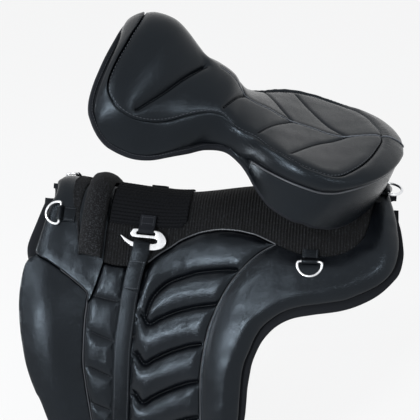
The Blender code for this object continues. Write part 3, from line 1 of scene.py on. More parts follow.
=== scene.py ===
# %% [markdown]
# # A treeless saddle with its quilted seat peeled up
#
# The imported solid model gives every piece its place. This file dresses it: each padded, woven
# or leather piece is built again with the fine shape that a solid model leaves out, and is
# tied to the body that it moves with. The first step loads the model and prints its box, and the
# dressed part's box is printed at the end.

import json
import math

import bmesh
import bpy
import numpy as np
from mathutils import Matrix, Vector
from mathutils.geometry import delaunay_2d_cdt


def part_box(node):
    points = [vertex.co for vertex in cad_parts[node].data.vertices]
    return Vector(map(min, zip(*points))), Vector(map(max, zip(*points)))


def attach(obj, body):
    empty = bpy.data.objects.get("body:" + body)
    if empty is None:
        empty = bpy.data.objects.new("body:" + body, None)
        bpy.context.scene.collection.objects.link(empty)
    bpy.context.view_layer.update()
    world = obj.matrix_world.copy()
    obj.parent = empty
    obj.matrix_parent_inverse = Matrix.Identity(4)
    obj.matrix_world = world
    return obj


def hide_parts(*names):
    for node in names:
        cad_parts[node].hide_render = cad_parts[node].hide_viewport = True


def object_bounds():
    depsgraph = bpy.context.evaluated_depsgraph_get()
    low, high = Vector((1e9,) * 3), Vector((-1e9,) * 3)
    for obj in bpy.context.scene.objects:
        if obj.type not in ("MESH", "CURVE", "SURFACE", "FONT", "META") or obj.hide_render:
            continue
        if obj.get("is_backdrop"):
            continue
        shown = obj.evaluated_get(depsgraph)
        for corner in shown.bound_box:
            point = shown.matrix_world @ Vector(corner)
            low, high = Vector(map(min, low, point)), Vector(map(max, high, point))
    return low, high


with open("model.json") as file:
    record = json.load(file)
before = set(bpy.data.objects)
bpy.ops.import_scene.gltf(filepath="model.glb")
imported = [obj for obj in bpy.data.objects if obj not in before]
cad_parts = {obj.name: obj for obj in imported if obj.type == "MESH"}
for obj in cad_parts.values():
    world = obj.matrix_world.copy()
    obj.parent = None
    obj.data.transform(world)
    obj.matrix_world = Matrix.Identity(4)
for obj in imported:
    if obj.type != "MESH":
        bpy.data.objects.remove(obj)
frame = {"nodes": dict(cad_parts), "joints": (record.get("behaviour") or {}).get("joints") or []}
CAD_BOX = [list(corner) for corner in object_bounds()]
print("CAD box", CAD_BOX, "with", len(frame["nodes"]), "nodes")

# %% [markdown]
# ## The camera
#
# The picture was taken from the near side, a little in front of square, looking down by thirty
# degrees with a long lens. A camera is placed by the point that it looks at, its direction and
# its distance.

# %% Camera
AZIMUTH, ELEVATION = math.radians(7.0), math.radians(30.0)
LOOK_AT = Vector((-0.030, 0.0, 0.0))
DISTANCE = 1.30
FOCAL_LENGTH = 74.3

towards_camera = Vector((math.sin(AZIMUTH) * math.cos(ELEVATION),
                         -math.cos(AZIMUTH) * math.cos(ELEVATION), math.sin(ELEVATION)))
camera = bpy.data.objects.new("camera", bpy.data.cameras.new("camera"))
camera.data.lens = FOCAL_LENGTH
camera.data.sensor_width = 36.0
camera.location = LOOK_AT + towards_camera * DISTANCE
camera.rotation_mode = "QUATERNION"
camera.rotation_quaternion = (-towards_camera).to_track_quat("-Z", "Y")
bpy.context.scene.collection.objects.link(camera)
bpy.context.scene.camera = camera
print("camera at", tuple(round(v, 3) for v in camera.location))

# %% [markdown]
# ## The room
#
# Black leather shows its shape mostly by what it reflects. The room is therefore a few soft
# lights over a pale floor. The background is white to the camera and in reflections, and
# dimmer as a light source, so that the leather stays deep.

# %% Lights, floor and world
WORLD_TINT, WORLD_STRENGTH = (0.90, 0.94, 1.0, 1.0), 0.38

world = bpy.data.worlds.new("studio")
bpy.context.scene.world = world
world.use_nodes = True
tree = world.node_tree
tree.nodes.clear()
path = tree.nodes.new("ShaderNodeLightPath")
seen = tree.nodes.new("ShaderNodeMath")
seen.operation = "MAXIMUM"
seen_all = tree.nodes.new("ShaderNodeMath")
seen_all.operation = "MAXIMUM"
tree.links.new(path.outputs["Is Camera Ray"], seen.inputs[0])
tree.links.new(path.outputs["Is Glossy Ray"], seen.inputs[1])
tree.links.new(seen.outputs[0], seen_all.inputs[0])
tree.links.new(path.outputs["Is Transmission Ray"], seen_all.inputs[1])
dim = tree.nodes.new("ShaderNodeBackground")
dim.inputs["Color"].default_value = WORLD_TINT
dim.inputs["Strength"].default_value = WORLD_STRENGTH
white = tree.nodes.new("ShaderNodeBackground")
white.inputs["Color"].default_value = (1.0, 1.0, 1.0, 1.0)
either = tree.nodes.new("ShaderNodeMixShader")
out = tree.nodes.new("ShaderNodeOutputWorld")
tree.links.new(seen_all.outputs[0], either.inputs[0])
tree.links.new(dim.outputs[0], either.inputs[1])
tree.links.new(white.outputs[0], either.inputs[2])
tree.links.new(either.outputs[0], out.inputs["Surface"])


COOL = (0.93, 0.97, 1.0)


def softbox(name, position, aim, size, power):
    """Rectangular soft light turned towards a point."""
    data = bpy.data.lights.new(name, "AREA")
    data.shape = "RECTANGLE"
    data.size, data.size_y = size
    data.energy = power
    data.color = COOL
    light = bpy.data.objects.new(name, data)
    light.location = position
    light.rotation_mode = "QUATERNION"
    light.rotation_quaternion = (Vector(aim) - Vector(position)).to_track_quat("-Z", "Y")
    bpy.context.scene.collection.objects.link(light)


softbox("key_light", (-0.85, -1.60, 0.56), (0.0, 0.0, 0.0), (0.24, 0.50), 21.0)
softbox("left_light", (-1.88, -0.15, -0.12), (0.0, 0.0, 0.0), (0.22, 0.60), 15.0)
softbox("upper_light", (-1.16, -0.90, 1.24), (0.0, 0.0, 0.0), (0.24, 0.32), 8.0)
softbox("right_light", (1.00, -1.20, 1.10), (0.1, 0.0, 0.0), (0.20, 0.20), 5.0)

FLOOR_GAP = 0.002
floor_mesh = bpy.data.meshes.new("floor")
reach, level = 6.0, CAD_BOX[0][2] - FLOOR_GAP
floor_mesh.from_pydata([(-reach, -reach, level), (reach, -reach, level), (reach, reach, level),
                        (-reach, reach, level)], [], [(0, 1, 2, 3)])
floor = bpy.data.objects.new("floor", floor_mesh)
bpy.context.scene.collection.objects.link(floor)
floor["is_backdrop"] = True
print("floor at", round(level, 3))

# %% [markdown]
# ## Shader maths as plain expressions
#
# A material is a graph of nodes, but its sums read best as Python. The small class below wraps
# a socket and turns + - * / and the like into Math nodes. Anything else comes from one method
# that takes the node's type, its settings and its inputs.


# %% Socket arithmetic
class Value:
    """One output socket, with arithmetic."""

    def __init__(self, material, socket):
        self.material = material
        self.socket = socket

    def sum_node(self, operation, *others):
        return self.material.node("ShaderNodeMath", {"operation": operation},
                                  {k: v for k, v in enumerate((self, *others))})

    def __add__(self, other):
        return self.sum_node("ADD", other)

    __radd__ = __add__

    def __mul__(self, other):
        return self.sum_node("MULTIPLY", other)

    __rmul__ = __mul__

    def __sub__(self, other):
        return self.sum_node("SUBTRACT", other)

    def __rsub__(self, other):
        return self.material.node("ShaderNodeMath", {"operation": "SUBTRACT"}, {0: other, 1: self})

    def least(self, other):
        return self.sum_node("MINIMUM", other)

    def most(self, other):
        return self.sum_node("MAXIMUM", other)

    def sine(self):
        return self.sum_node("SINE")

    def between(self, low, high):
        """0 below low, 1 above high, eased in the middle."""
        return self.material.node("ShaderNodeMapRange", {"interpolation_type": "SMOOTHSTEP"},
                                  {"Value": self, "From Min": low, "From Max": high}, "Result")


class Finish:
    """One procedural material and its shader."""

    def __init__(self, name, **constants):
        self.made = bpy.data.materials.new(name)
        self.made.use_nodes = True
        self.shader = self.made.node_tree.nodes["Principled BSDF"]
        for socket, number in constants.items():
            self.shader.inputs[socket.replace("_", " ")].default_value = number
        coordinates = self.made.node_tree.nodes.new("ShaderNodeTexCoord")
        self.place = Value(self, coordinates.outputs["Object"])

    def node(self, kind, settings, inputs, output=0):
        """Add a node: its settings first, then its inputs, and give back one output."""
        made = self.made.node_tree.nodes.new(kind)
        for key, value in settings.items():
            if key == "stops":
                ramp = made.color_ramp
                while len(ramp.elements) < len(value):
                    ramp.elements.new(0.5)
                for element, (position, colour) in zip(ramp.elements, value):
                    element.position = position
                    element.color = colour
            else:
                setattr(made, key, value)
        for key, value in inputs.items():
            if isinstance(value, Value):
                self.made.node_tree.links.new(value.socket, made.inputs[key])
            else:
                made.inputs[key].default_value = value
        return Value(self, made.outputs[output])

    def feed(self, socket, value):
        self.made.node_tree.links.new(value.socket, self.shader.inputs[socket])

    def noise(self, scale, detail=3.0, rough=0.55, at=None):
        return self.node("ShaderNodeTexNoise", {}, {"Vector": at or self.place, "Scale": scale,
                                                    "Detail": detail, "Roughness": rough}, "Fac")

    def cells(self, scale, at):
        return self.node("ShaderNodeTexVoronoi", {"feature": "DISTANCE_TO_EDGE"},
                         {"Vector": at, "Scale": scale}, "Distance")

    def stretched(self, x, y, z):
        return self.node("ShaderNodeVectorMath", {"operation": "MULTIPLY"},
                         {0: self.place, 1: (x, y, z)}, "Vector")

    def part(self, axis):
        return self.node("ShaderNodeSeparateXYZ", {}, {"Vector": self.place}, axis)

    def mix(self, share, first, second):
        return self.node("ShaderNodeMix", {"data_type": "RGBA"},
                         {0: share, 6: first, 7: second}, 2)

    def bump(self, height, distance, strength, over=None):
        inputs = {"Height": height, "Distance": distance, "Strength": strength}
        if over is not None:
            inputs["Normal"] = over
        return self.node("ShaderNodeBump", {}, inputs, "Normal")


print("shader helpers ready")

# %% [markdown]
# ## Leather
#
# Saddle leather is dyed nearly black and waxed. Up close it has a pebble grain about a
# millimetre across, slack creases where it bends, and a shine that comes and goes where it
# has been handled. Voronoi cells make the grain and stretched noise makes the creases.


# %% Leather
PEBBLE_SCALE, FINE_SCALE, CREASE_SCALE = 720.0, 1500.0, 38.0


def leather(name, colour, lighter, roughness, grain, crease, **constants):
    """Waxed leather with pebble grain, creases and an uneven shine."""
    skin = Finish(name, **constants)
    wobble = skin.node("ShaderNodeMix", {"data_type": "VECTOR"},
                       {0: 0.0016, 4: skin.place,
                        5: skin.node("ShaderNodeTexNoise", {},
                                     {"Vector": skin.place, "Scale": 260.0, "Detail": 2.0}, "Color")}, 1)
    pebbles = skin.cells(PEBBLE_SCALE, wobble).between(0.02, 0.42)
    fine = skin.noise(FINE_SCALE, 2.0)
    creases = skin.noise(CREASE_SCALE, 3.0, 0.50, skin.stretched(1.0, 0.45, 0.45))
    folds = 1.0 - skin.node("ShaderNodeMath", {"operation": "ABSOLUTE"},
                            {0: creases * 2.0 - 1.0}).between(0.0, 0.30)
    cloudy = skin.noise(16.0, 3.0)
    worn = skin.noise(90.0, 4.0, 0.6)
    share = (cloudy.between(0.35, 0.75) * 0.6 + (1.0 - pebbles) * 0.25).least(1.0)
    skin.feed("Base Color", skin.mix(share, (*colour, 1.0), (*lighter, 1.0)))
    skin.feed("Roughness", (cloudy.between(0.3, 0.7) * 0.04 + worn * 0.10 + roughness
                            - 0.05 + (1.0 - pebbles) * 0.06))
    relief = skin.bump(pebbles * 0.75 + fine * 0.25, grain, 0.55)
    relief = skin.bump(folds * -1.0, crease, 0.3, relief)
    skin.feed("Normal", relief)
    return skin.made


BLACK = (0.0015, 0.0018, 0.0025)
BLACK_WORN = (0.0032, 0.0038, 0.0052)
TINT = (0.74, 0.87, 1.0, 1.0)
saddle_leather = leather("saddle_leather", BLACK, BLACK_WORN, 0.16, 0.00022, 0.00030,
                         Specular_IOR_Level=0.29, Specular_Tint=TINT)
seat_leather = leather("seat_leather", (0.0020, 0.0025, 0.0034), (0.0036, 0.0044, 0.0058), 0.16,
                       0.00018, 0.00020, Specular_IOR_Level=0.25, Specular_Tint=TINT)
strap_leather = leather("strap_leather", (0.0020, 0.0022, 0.0028), (0.0040, 0.0044, 0.0054), 0.24,
                        0.00022, 0.00010, Specular_IOR_Level=0.18, Specular_Tint=TINT)
edge_leather = leather("edge_leather", (0.016, 0.018, 0.022), (0.045, 0.050, 0.060), 0.30,
                       0.00010, 0.00005, Specular_IOR_Level=0.60)
print("leathers:", saddle_leather.name, seat_leather.name, strap_leather.name)

# %% [markdown]
# ## Fabrics, thread, foam and steel
#
# The seat grips the saddle by hook-and-loop fabric. Its loop side is a rough matt pile in
# faint rows; the hook side is stiffer and finer. Webbing is a coarse flat weave. Steel is
# cast, tumbled and nickelled, so it is bright with faint scratches.


# %% Fabrics and metal
def pile(name, colour, lighter, rows, depth, tuft):
    """Loop or hook fabric: tufts standing in faint rows."""
    cloth = Finish(name, Specular_IOR_Level=0.22)
    tufts = cloth.noise(tuft, 3.0, 0.7)
    ridges = (cloth.part("X") * rows * math.tau + cloth.noise(60.0) * 3.0).sine() * 0.5 + 0.5
    clumps = cloth.noise(140.0, 3.0)
    share = (tufts.between(0.46, 0.72) * (0.35 + ridges * 0.65)).least(1.0)
    cloth.feed("Base Color", cloth.mix(share, (*colour, 1.0), (*lighter, 1.0)))
    cloth.feed("Roughness", 0.80 + tufts * 0.18)
    height = tufts * 0.6 + ridges * 0.7 + clumps * 0.3
    cloth.feed("Normal", cloth.bump(height, depth, 1.0))
    return cloth.made


def weave(name, colour, lighter, across, along, depth):
    """Flat webbing: yarns that pass over and under each other."""
    cloth = Finish(name, Specular_IOR_Level=0.10)
    warp = (cloth.part("X") * along * math.tau).sine() * 0.5 + 0.5
    weft = (cloth.part("Y") * across * math.tau).sine() * 0.5 + 0.5
    fuzz = cloth.noise(1400.0, 2.0)
    thread = (warp * weft + (1.0 - warp) * (1.0 - weft))
    share = (thread * 0.6 + fuzz * 0.4).least(1.0)
    cloth.feed("Base Color", cloth.mix(share, (*colour, 1.0), (*lighter, 1.0)))
    cloth.feed("Roughness", 0.72 + fuzz * 0.2)
    cloth.feed("Normal", cloth.bump(thread * 0.7 + fuzz * 0.3, depth, 0.8))
    return cloth.made


def plain(name, colour, lighter, roughness, grain, depth, **constants):
    """Matt foam, board or lining with a fine speckle."""
    stuff = Finish(name, **constants)
    speck = stuff.noise(grain, 4.0, 0.65)
    stuff.feed("Base Color", stuff.mix(speck.between(0.35, 0.7), (*colour, 1.0), (*lighter, 1.0)))
    stuff.feed("Roughness", roughness + speck * 0.12)
    stuff.feed("Normal", stuff.bump(speck, depth, 0.8))
    return stuff.made


def bright_metal():
    """Nickelled steel with faint scratches and a soft tumble."""
    metal = Finish("nickelled_steel", Metallic=1.0)
    dents = metal.noise(120.0, 3.0)
    scratch = metal.noise(900.0, 2.0, 0.5, metal.stretched(1.0, 0.12, 0.12))
    share = dents.between(0.3, 0.7)
    metal.feed("Base Color", metal.mix(share, (0.70, 0.71, 0.73, 1.0), (0.82, 0.83, 0.85, 1.0)))
    metal.feed("Roughness", 0.20 + scratch * 0.12 + dents * 0.05)
    metal.feed("Normal", metal.bump(scratch * 0.4 + dents, 0.00006, 0.5))
    return metal.made


loop_fabric = pile("loop_fabric", (0.0012, 0.0013, 0.0016), (0.034, 0.036, 0.041), 230.0, 0.0016, 480.0)
hook_fabric = pile("hook_fabric", (0.0016, 0.0018, 0.0022), (0.046, 0.048, 0.054), 0.0, 0.0014, 560.0)
ribbed_web = weave("ribbed_web", (0.0014, 0.0015, 0.0020), (0.0085, 0.0092, 0.0112), 460.0, 250.0, 0.0008)
lining_cloth = weave("lining_cloth", (0.0050, 0.0055, 0.0065), (0.016, 0.0175, 0.021), 900.0, 900.0, 0.0003)
binding_cloth = weave("binding_cloth", (0.0050, 0.0054, 0.0066), (0.020, 0.022, 0.027), 700.0, 420.0, 0.0004)
foam_stuff = plain("core_foam", (0.030, 0.030, 0.033), (0.055, 0.055, 0.060), 0.80, 700.0, 0.0003)
board_stuff = plain("arch_board", (0.040, 0.040, 0.044), (0.065, 0.065, 0.070), 0.45, 260.0, 0.0001)
thread_stuff = plain("waxed_thread", (0.020, 0.022, 0.027), (0.070, 0.078, 0.092), 0.45, 2200.0, 0.0001)
pale_thread = plain("pale_cord", (0.055, 0.060, 0.072), (0.16, 0.175, 0.20), 0.42, 2000.0, 0.0001)
steel = bright_metal()
print("finishes ready:", len(bpy.data.materials))

# %% [markdown]
# ## The floor's finish
#
# The floor keeps a faint shadow of the saddle, and otherwise reads as white paper.

# %% Floor
paper = Finish("floor_paper", Roughness=0.9, Specular_IOR_Level=0.1)
paper.feed("Base Color", paper.mix(paper.noise(3.0), (0.90, 0.90, 0.90, 1.0), (0.93, 0.93, 0.93, 1.0)))
rays = paper.made.node_tree.nodes.new("ShaderNodeLightPath")
to_camera, glossy, through = (Value(paper, rays.outputs[f"Is {kind} Ray"])
                              for kind in ("Camera", "Glossy", "Transmission"))
seen_by = to_camera.most(glossy).most(through)
glow = paper.node("ShaderNodeEmission", {}, {"Color": (1.0, 1.0, 1.0, 1.0), "Strength": 1.0})
lit = Value(paper, paper.shader.outputs["BSDF"])
PAPER_WHITE = 0.86
shown = paper.node("ShaderNodeMixShader", {}, {0: seen_by * PAPER_WHITE, 1: lit, 2: glow})
surface = paper.made.node_tree.nodes["Material Output"].inputs["Surface"]
paper.made.node_tree.links.new(shown.socket, surface)
floor_mesh.materials.append(paper.made)
print("floor finished")

# %% [markdown]
# ## The shape of the back
#
# Every layer of the saddle lies on the horse's back. A place on it is given by x, by the
# distance s down the side from the spine, and by the height h above the back. The same curves
# as in the solid model are used here, read smoothly instead of in facets.

# %% Sizes and outlines, in metres and in shares of the length and the depth
LENGTH, DEPTH = 0.500, 0.500

# A point is a share of the length, from the pommel at about -0.5 to the cantle at about 0.5, and
# a share of the depth, from the spine down one side. First comes the spine's own line, whose
# heights are shares of its rise.
SPINE_RISE = 0.020
SPINE_X_SHARES = (-0.52, -0.33, -0.14, 0.06, 0.26, 0.52)
SPINE_Z_SHARES = (0.80, 0.15, -0.20, 0.50, 1.10, 1.30)

# Edges and seams of the pads that lie on the panels, and the edge of the panels themselves.
FRONT_EDGE_SHARES = ((-0.522, 0.0), (-0.518, 0.032), (-0.526, 0.078), (-0.540, 0.134),
    (-0.552, 0.182), (-0.548, 0.193))
KNEE_SEAM_SHARES = ((-0.548, 0.193), (-0.476, 0.222), (-0.430, 0.244), (-0.394, 0.266),
    (-0.391, 0.292), (-0.394, 0.334), (-0.394, 0.398), (-0.392, 0.448),
    (-0.382, 0.500), (-0.372, 0.546), (-0.360, 0.600), (-0.348, 0.660),
    (-0.340, 0.720), (-0.336, 0.758))
KNEE_OUTER_SHARES = ((-0.568, 0.200), (-0.582, 0.224), (-0.588, 0.270), (-0.588, 0.320),
    (-0.580, 0.382), (-0.570, 0.428), (-0.560, 0.468), (-0.546, 0.506),
    (-0.530, 0.540), (-0.512, 0.574), (-0.490, 0.622), (-0.464, 0.670),
    (-0.436, 0.714), (-0.404, 0.744), (-0.370, 0.760))
FACING_SEAM_SHARES = ((-0.352, 0.186), (-0.362, 0.220), (-0.376, 0.264))
FIELD_EDGE_SHARES = ((-0.352, 0.186), (-0.320, 0.190), (-0.288, 0.190), (-0.250, 0.186),
    (-0.218, 0.176), (-0.184, 0.152), (-0.154, 0.136), (-0.126, 0.120),
    (-0.092, 0.109), (-0.058, 0.103), (-0.008, 0.104), (0.042, 0.116),
    (0.074, 0.128), (0.100, 0.140), (0.132, 0.162), (0.154, 0.178),
    (0.180, 0.198), (0.204, 0.213), (0.222, 0.222), (0.250, 0.230),
    (0.278, 0.234), (0.296, 0.235), (0.318, 0.230), (0.344, 0.218),
    (0.366, 0.200), (0.384, 0.176), (0.394, 0.152), (0.402, 0.124),
    (0.408, 0.088), (0.418, 0.044), (0.422, 0.0))
REAR_SEAM_SHARES = ((0.154, 0.178), (0.118, 0.194), (0.088, 0.216), (0.062, 0.242),
    (0.040, 0.268), (0.022, 0.296), (0.008, 0.326), (-0.004, 0.354),
    (-0.016, 0.386), (-0.022, 0.420), (-0.028, 0.458), (-0.032, 0.500),
    (-0.032, 0.542), (-0.030, 0.596), (-0.026, 0.660), (-0.020, 0.720),
    (-0.016, 0.780), (-0.016, 0.856))
FLAP_FOOT_SHARES = ((-0.336, 0.758), (-0.328, 0.800), (-0.300, 0.840), (-0.250, 0.868),
    (-0.180, 0.880), (-0.100, 0.880), (-0.040, 0.868), (-0.016, 0.856))
SKIRT_EDGE_SHARES = ((0.462, 0.0), (0.466, 0.024), (0.476, 0.070), (0.482, 0.120),
    (0.486, 0.168), (0.484, 0.212), (0.474, 0.258), (0.454, 0.294),
    (0.424, 0.324), (0.380, 0.352), (0.340, 0.372), (0.282, 0.384),
    (0.230, 0.388), (0.186, 0.396), (0.154, 0.412), (0.128, 0.432),
    (0.110, 0.462), (0.098, 0.494), (0.086, 0.528), (0.080, 0.572),
    (0.078, 0.642), (0.076, 0.700), (0.066, 0.760), (0.044, 0.810),
    (0.016, 0.840), (-0.016, 0.856))
PANEL_EDGE_SHARES = ((0.474, 0.0), (0.480, 0.040), (0.488, 0.080), (0.495, 0.120),
    (0.500, 0.170), (0.501, 0.210), (0.492, 0.264), (0.472, 0.300),
    (0.446, 0.334), (0.418, 0.360), (0.382, 0.384), (0.348, 0.400),
    (0.308, 0.411), (0.256, 0.417), (0.202, 0.422), (0.162, 0.438),
    (0.134, 0.464), (0.118, 0.490), (0.102, 0.534), (0.096, 0.576),
    (0.092, 0.616), (0.091, 0.660), (0.088, 0.716), (0.076, 0.776),
    (0.050, 0.828), (0.018, 0.860), (-0.040, 0.884), (-0.120, 0.900),
    (-0.200, 0.896), (-0.280, 0.872), (-0.336, 0.830), (-0.366, 0.780),
    (-0.430, 0.704), (-0.466, 0.652), (-0.494, 0.596), (-0.518, 0.536),
    (-0.540, 0.476), (-0.556, 0.410), (-0.568, 0.340), (-0.574, 0.270),
    (-0.576, 0.220), (-0.584, 0.188), (-0.583, 0.162), (-0.566, 0.108),
    (-0.551, 0.054), (-0.548, 0.0))

# The hidden core and arch, the flap's sewn channels, the line of the stirrup leather and the
# front of the hook strip. A chevron's depths count from its own drop.
CORE_SHARES = ((-0.428, 0.0), (-0.428, 0.400), (0.040, 0.400), (0.110, 0.366), (0.280, 0.336),
    (0.370, 0.306), (0.430, 0.240), (0.442, 0.160), (0.430, 0.0))
ARCH_SHARES = ((-0.505, 0.0), (-0.505, 0.120), (-0.520, 0.190), (-0.516, 0.320),
    (-0.470, 0.370), (-0.437, 0.370), (-0.437, 0.0))
ARC_CHANNEL_SHARES = ((-0.212, 0.318), (-0.206, 0.290), (-0.192, 0.264), (-0.172, 0.244),
    (-0.144, 0.228), (-0.106, 0.220), (-0.068, 0.216), (-0.024, 0.220),
    (0.020, 0.228), (0.050, 0.236))
CHEVRON_SHARES = ((-0.228, -0.028), (-0.204, 0.0), (-0.172, -0.012), (-0.132, -0.022),
    (-0.096, -0.025), (-0.066, -0.024), (-0.036, -0.018))
STRAP_LINE_SHARES = ((-0.240, 0.128), (-0.246, 0.172), (-0.258, 0.226), (-0.265, 0.278),
    (-0.270, 0.342), (-0.274, 0.400), (-0.273, 0.464), (-0.272, 0.538),
    (-0.272, 0.620), (-0.272, 0.700), (-0.272, 0.780), (-0.272, 0.860),
    (-0.272, 0.930))
HOOK_STRIP_FRONT_SHARES = ((-0.474, 0.0), (-0.466, 0.040), (-0.450, 0.080), (-0.436, 0.120),
    (-0.432, 0.150))

# The hook's outline is in shares of its own length and depth.
HANGER_SHARES = ((-0.30, -0.28), (-0.27, -0.45), (-0.20, -0.55), (0.27, -0.52), (0.42, -0.34),
    (0.49, -0.04), (0.45, 0.24), (0.34, 0.40), (0.19, 0.46), (-0.06, 0.46),
    (-0.21, 0.36), (-0.36, 0.18), (-0.46, -0.02), (-0.51, -0.18), (-0.40, -0.04),
    (-0.28, 0.09), (-0.16, 0.15), (0.10, 0.16), (0.24, 0.14), (0.30, 0.05),
    (0.24, -0.12), (-0.21, -0.14))

# The seat's hem lies on the back. Its inner line, where the roll is sewn to the middle field, its
# rim over the cantle, the height of its middle and its chevrons are drawn on a level plan.
HEM_SHARES = ((-0.442, 0.0), (-0.440, 0.028), (-0.437, 0.058), (-0.432, 0.088), (-0.426, 0.118),
    (-0.416, 0.148), (-0.402, 0.170), (-0.386, 0.182), (-0.364, 0.194),
    (-0.336, 0.204), (-0.300, 0.210), (-0.238, 0.206), (-0.186, 0.190),
    (-0.140, 0.164), (-0.100, 0.140), (-0.060, 0.112), (-0.012, 0.102),
    (0.032, 0.120), (0.068, 0.148), (0.104, 0.184), (0.156, 0.226),
    (0.218, 0.252), (0.250, 0.252), (0.280, 0.248), (0.330, 0.218), (0.370, 0.170),
    (0.400, 0.110), (0.422, 0.050), (0.431, 0.027), (0.434, 0.0))
INNER_SHARES = ((-0.392, 0.0), (-0.392, 0.022), (-0.392, 0.048), (-0.394, 0.074), (-0.394, 0.106),
    (-0.394, 0.144), (-0.390, 0.180), (-0.378, 0.204), (-0.356, 0.220),
    (-0.332, 0.230), (-0.300, 0.232), (-0.262, 0.220), (-0.210, 0.190),
    (-0.158, 0.156), (-0.116, 0.136), (-0.076, 0.128), (-0.028, 0.136),
    (0.016, 0.154), (0.054, 0.188), (0.100, 0.218), (0.156, 0.240),
    (0.212, 0.244), (0.236, 0.237), (0.256, 0.222), (0.288, 0.180), (0.314, 0.124),
    (0.332, 0.062), (0.338, 0.036), (0.340, 0.018), (0.340, 0.0))
RIM_SHARES = ((0.016, 0.150), (0.044, 0.178), (0.088, 0.218), (0.150, 0.248), (0.212, 0.258),
    (0.242, 0.255), (0.270, 0.246), (0.314, 0.220), (0.354, 0.176), (0.384, 0.116), (0.402, 0.056),
    (0.405, 0.030), (0.406, 0.0))
RIM_Z_SHARES = (0.20, 0.31, 0.40, 0.50, 0.59, 0.65, 0.73, 0.90, 1.05, 1.14, 1.18, 1.187, 1.19)
SEAT_X_SHARES = (-0.450, -0.394, -0.318, -0.194, -0.142, -0.092, -0.044, 0.036, 0.102, 0.164,
    0.256, 0.290, 0.336, 0.371, 0.410)
SEAT_Z_SHARES = (0.80, 0.93, 1.006, 0.83, 0.81, 0.78, 0.66, 0.66, 0.68, 0.74, 0.89, 1.02, 1.19,
    1.33, 1.40)
SEAT_LINE_SHARES = (((-0.186, 0.034), (-0.218, 0.090), (-0.250, 0.150), (-0.290, 0.212)),
    ((-0.046, 0.008), (-0.066, 0.050), (-0.090, 0.112)),
    ((0.102, 0.008), (0.058, 0.070), (0.022, 0.136)),
    ((0.255, 0.008), (0.180, 0.090), (0.112, 0.196)))

# Heights of the layers above the back, and the gap at a seam.
PANEL_THICK, CORE_LOW, CORE_THICK = 0.008, 0.0085, 0.003
PAD_LOW, PAD_THICK = 0.012, 0.0117
PAD_TOP = PAD_LOW + PAD_THICK
ON_TOP = PAD_TOP + 0.0005
SEAM_GAP = 0.0006


def rounded_row(xs, zs, x):
    """Smooth curve through a row of points, read at many x."""
    xs, zs, x = np.asarray(xs, float), np.asarray(zs, float), np.asarray(x, float)
    slopes = np.gradient(zs, xs)
    i = np.clip(np.searchsorted(xs, x) - 1, 0, len(xs) - 2)
    step = xs[i + 1] - xs[i]
    t = np.clip((x - xs[i]) / step, 0.0, 1.0)
    return ((2 * t**3 - 3 * t * t + 1) * zs[i] + (t**3 - 2 * t * t + t) * step * slopes[i]
            + (-2 * t**3 + 3 * t * t) * zs[i + 1] + (t**3 - t * t) * step * slopes[i + 1])


def ease(value):
    """Ease from 0 to 1 while value runs from 0 to 1."""
    t = np.clip(value, 0.0, 1.0)
    return t * t * (3.0 - 2.0 * t)


def back_height(x, y):
    """Height of the horse's back."""
    spine = SPINE_RISE * rounded_row(SPINE_X_SHARES, SPINE_Z_SHARES, x / LENGTH)
    slope = 1.40 - 0.74 * ease((x / LENGTH + 0.40) / 0.72)
    ridge = np.sqrt(y * y + 0.045**2) - 0.045
    return spine - slope * ridge - 0.096 * (y / 0.200)**4


ARC_OUT = np.linspace(0.0, 0.40, 900)
ARC_FALL = back_height(np.full(900, -0.050), ARC_OUT)
ARC_DOWN = np.concatenate(([0.0], np.cumsum(np.hypot(np.diff(ARC_OUT), np.diff(ARC_FALL)))))


def back_point(x, s):
    """Points of the back; s is positive on the near side."""
    y = np.interp(np.abs(s), ARC_DOWN, ARC_OUT) * np.sign(s)
    return np.stack((x, -y, back_height(x, y)), -1)


def back_normal(x, s):
    """Outward directions of the back."""
    step = 0.0008
    along = back_point(x + step, s) - back_point(x - step, s)
    down = back_point(x, s + step) - back_point(x, s - step)
    out = np.cross(down, along)
    return out / np.linalg.norm(out, axis=-1, keepdims=True)


def place(x, s, h):
    """Points at height h above the back."""
    x, s = np.asarray(x, float), np.asarray(s, float)
    return back_point(x, s) + back_normal(x, s) * np.asarray(h, float)[..., None]


def on_plan(shares):
    """Shares as an array of metres."""
    return np.array(shares, float) * (LENGTH, DEPTH)


print("spine at mid-length", round(float(back_height(0.0, 0.0)), 4))

# %% [markdown]
# ## Drawing smooth outlines
#
# A traced outline has a point every few centimetres. A Catmull-Rom curve passes through all
# of them, and resampling it at even steps gives an edge that looks cut with a knife. Corners
# are kept by drawing each side of a piece on its own.


# %% Curves
def closed_up(loop):
    """A closed outline with its first point again at its end."""
    return np.vstack((loop, loop[:1]))


def distances(line):
    """Distance along a line at each of its points."""
    return np.concatenate(([0.0], np.cumsum(np.linalg.norm(np.diff(line, axis=0), axis=1))))


def smooth(points, spacing, closed=False):
    """Catmull-Rom curve through points, read again at even steps."""
    p = np.asarray(points, float)
    if closed:
        p = np.vstack((p[-1], p, p[0], p[1]))
    else:
        p = np.vstack((2 * p[0] - p[1], p, 2 * p[-1] - p[-2]))
    t = np.linspace(0.0, 1.0, 12, endpoint=False)[:, None]
    run = []
    for a, b, c, d in zip(p, p[1:], p[2:], p[3:]):
        run.append(0.5 * (2 * b + (c - a) * t + (2 * a - 5 * b + 4 * c - d) * t**2
                          + (3 * b - a - 3 * c + d) * t**3))
    run = np.vstack(run + [p[-2][None]])
    marks = distances(run)
    count = max(2, int(round(marks[-1] / spacing)) + 1)
    at = np.linspace(0.0, marks[-1], count)
    made = np.stack([np.interp(at, marks, run[:, k]) for k in range(run.shape[1])], -1)
    return made[:-1] if closed else made


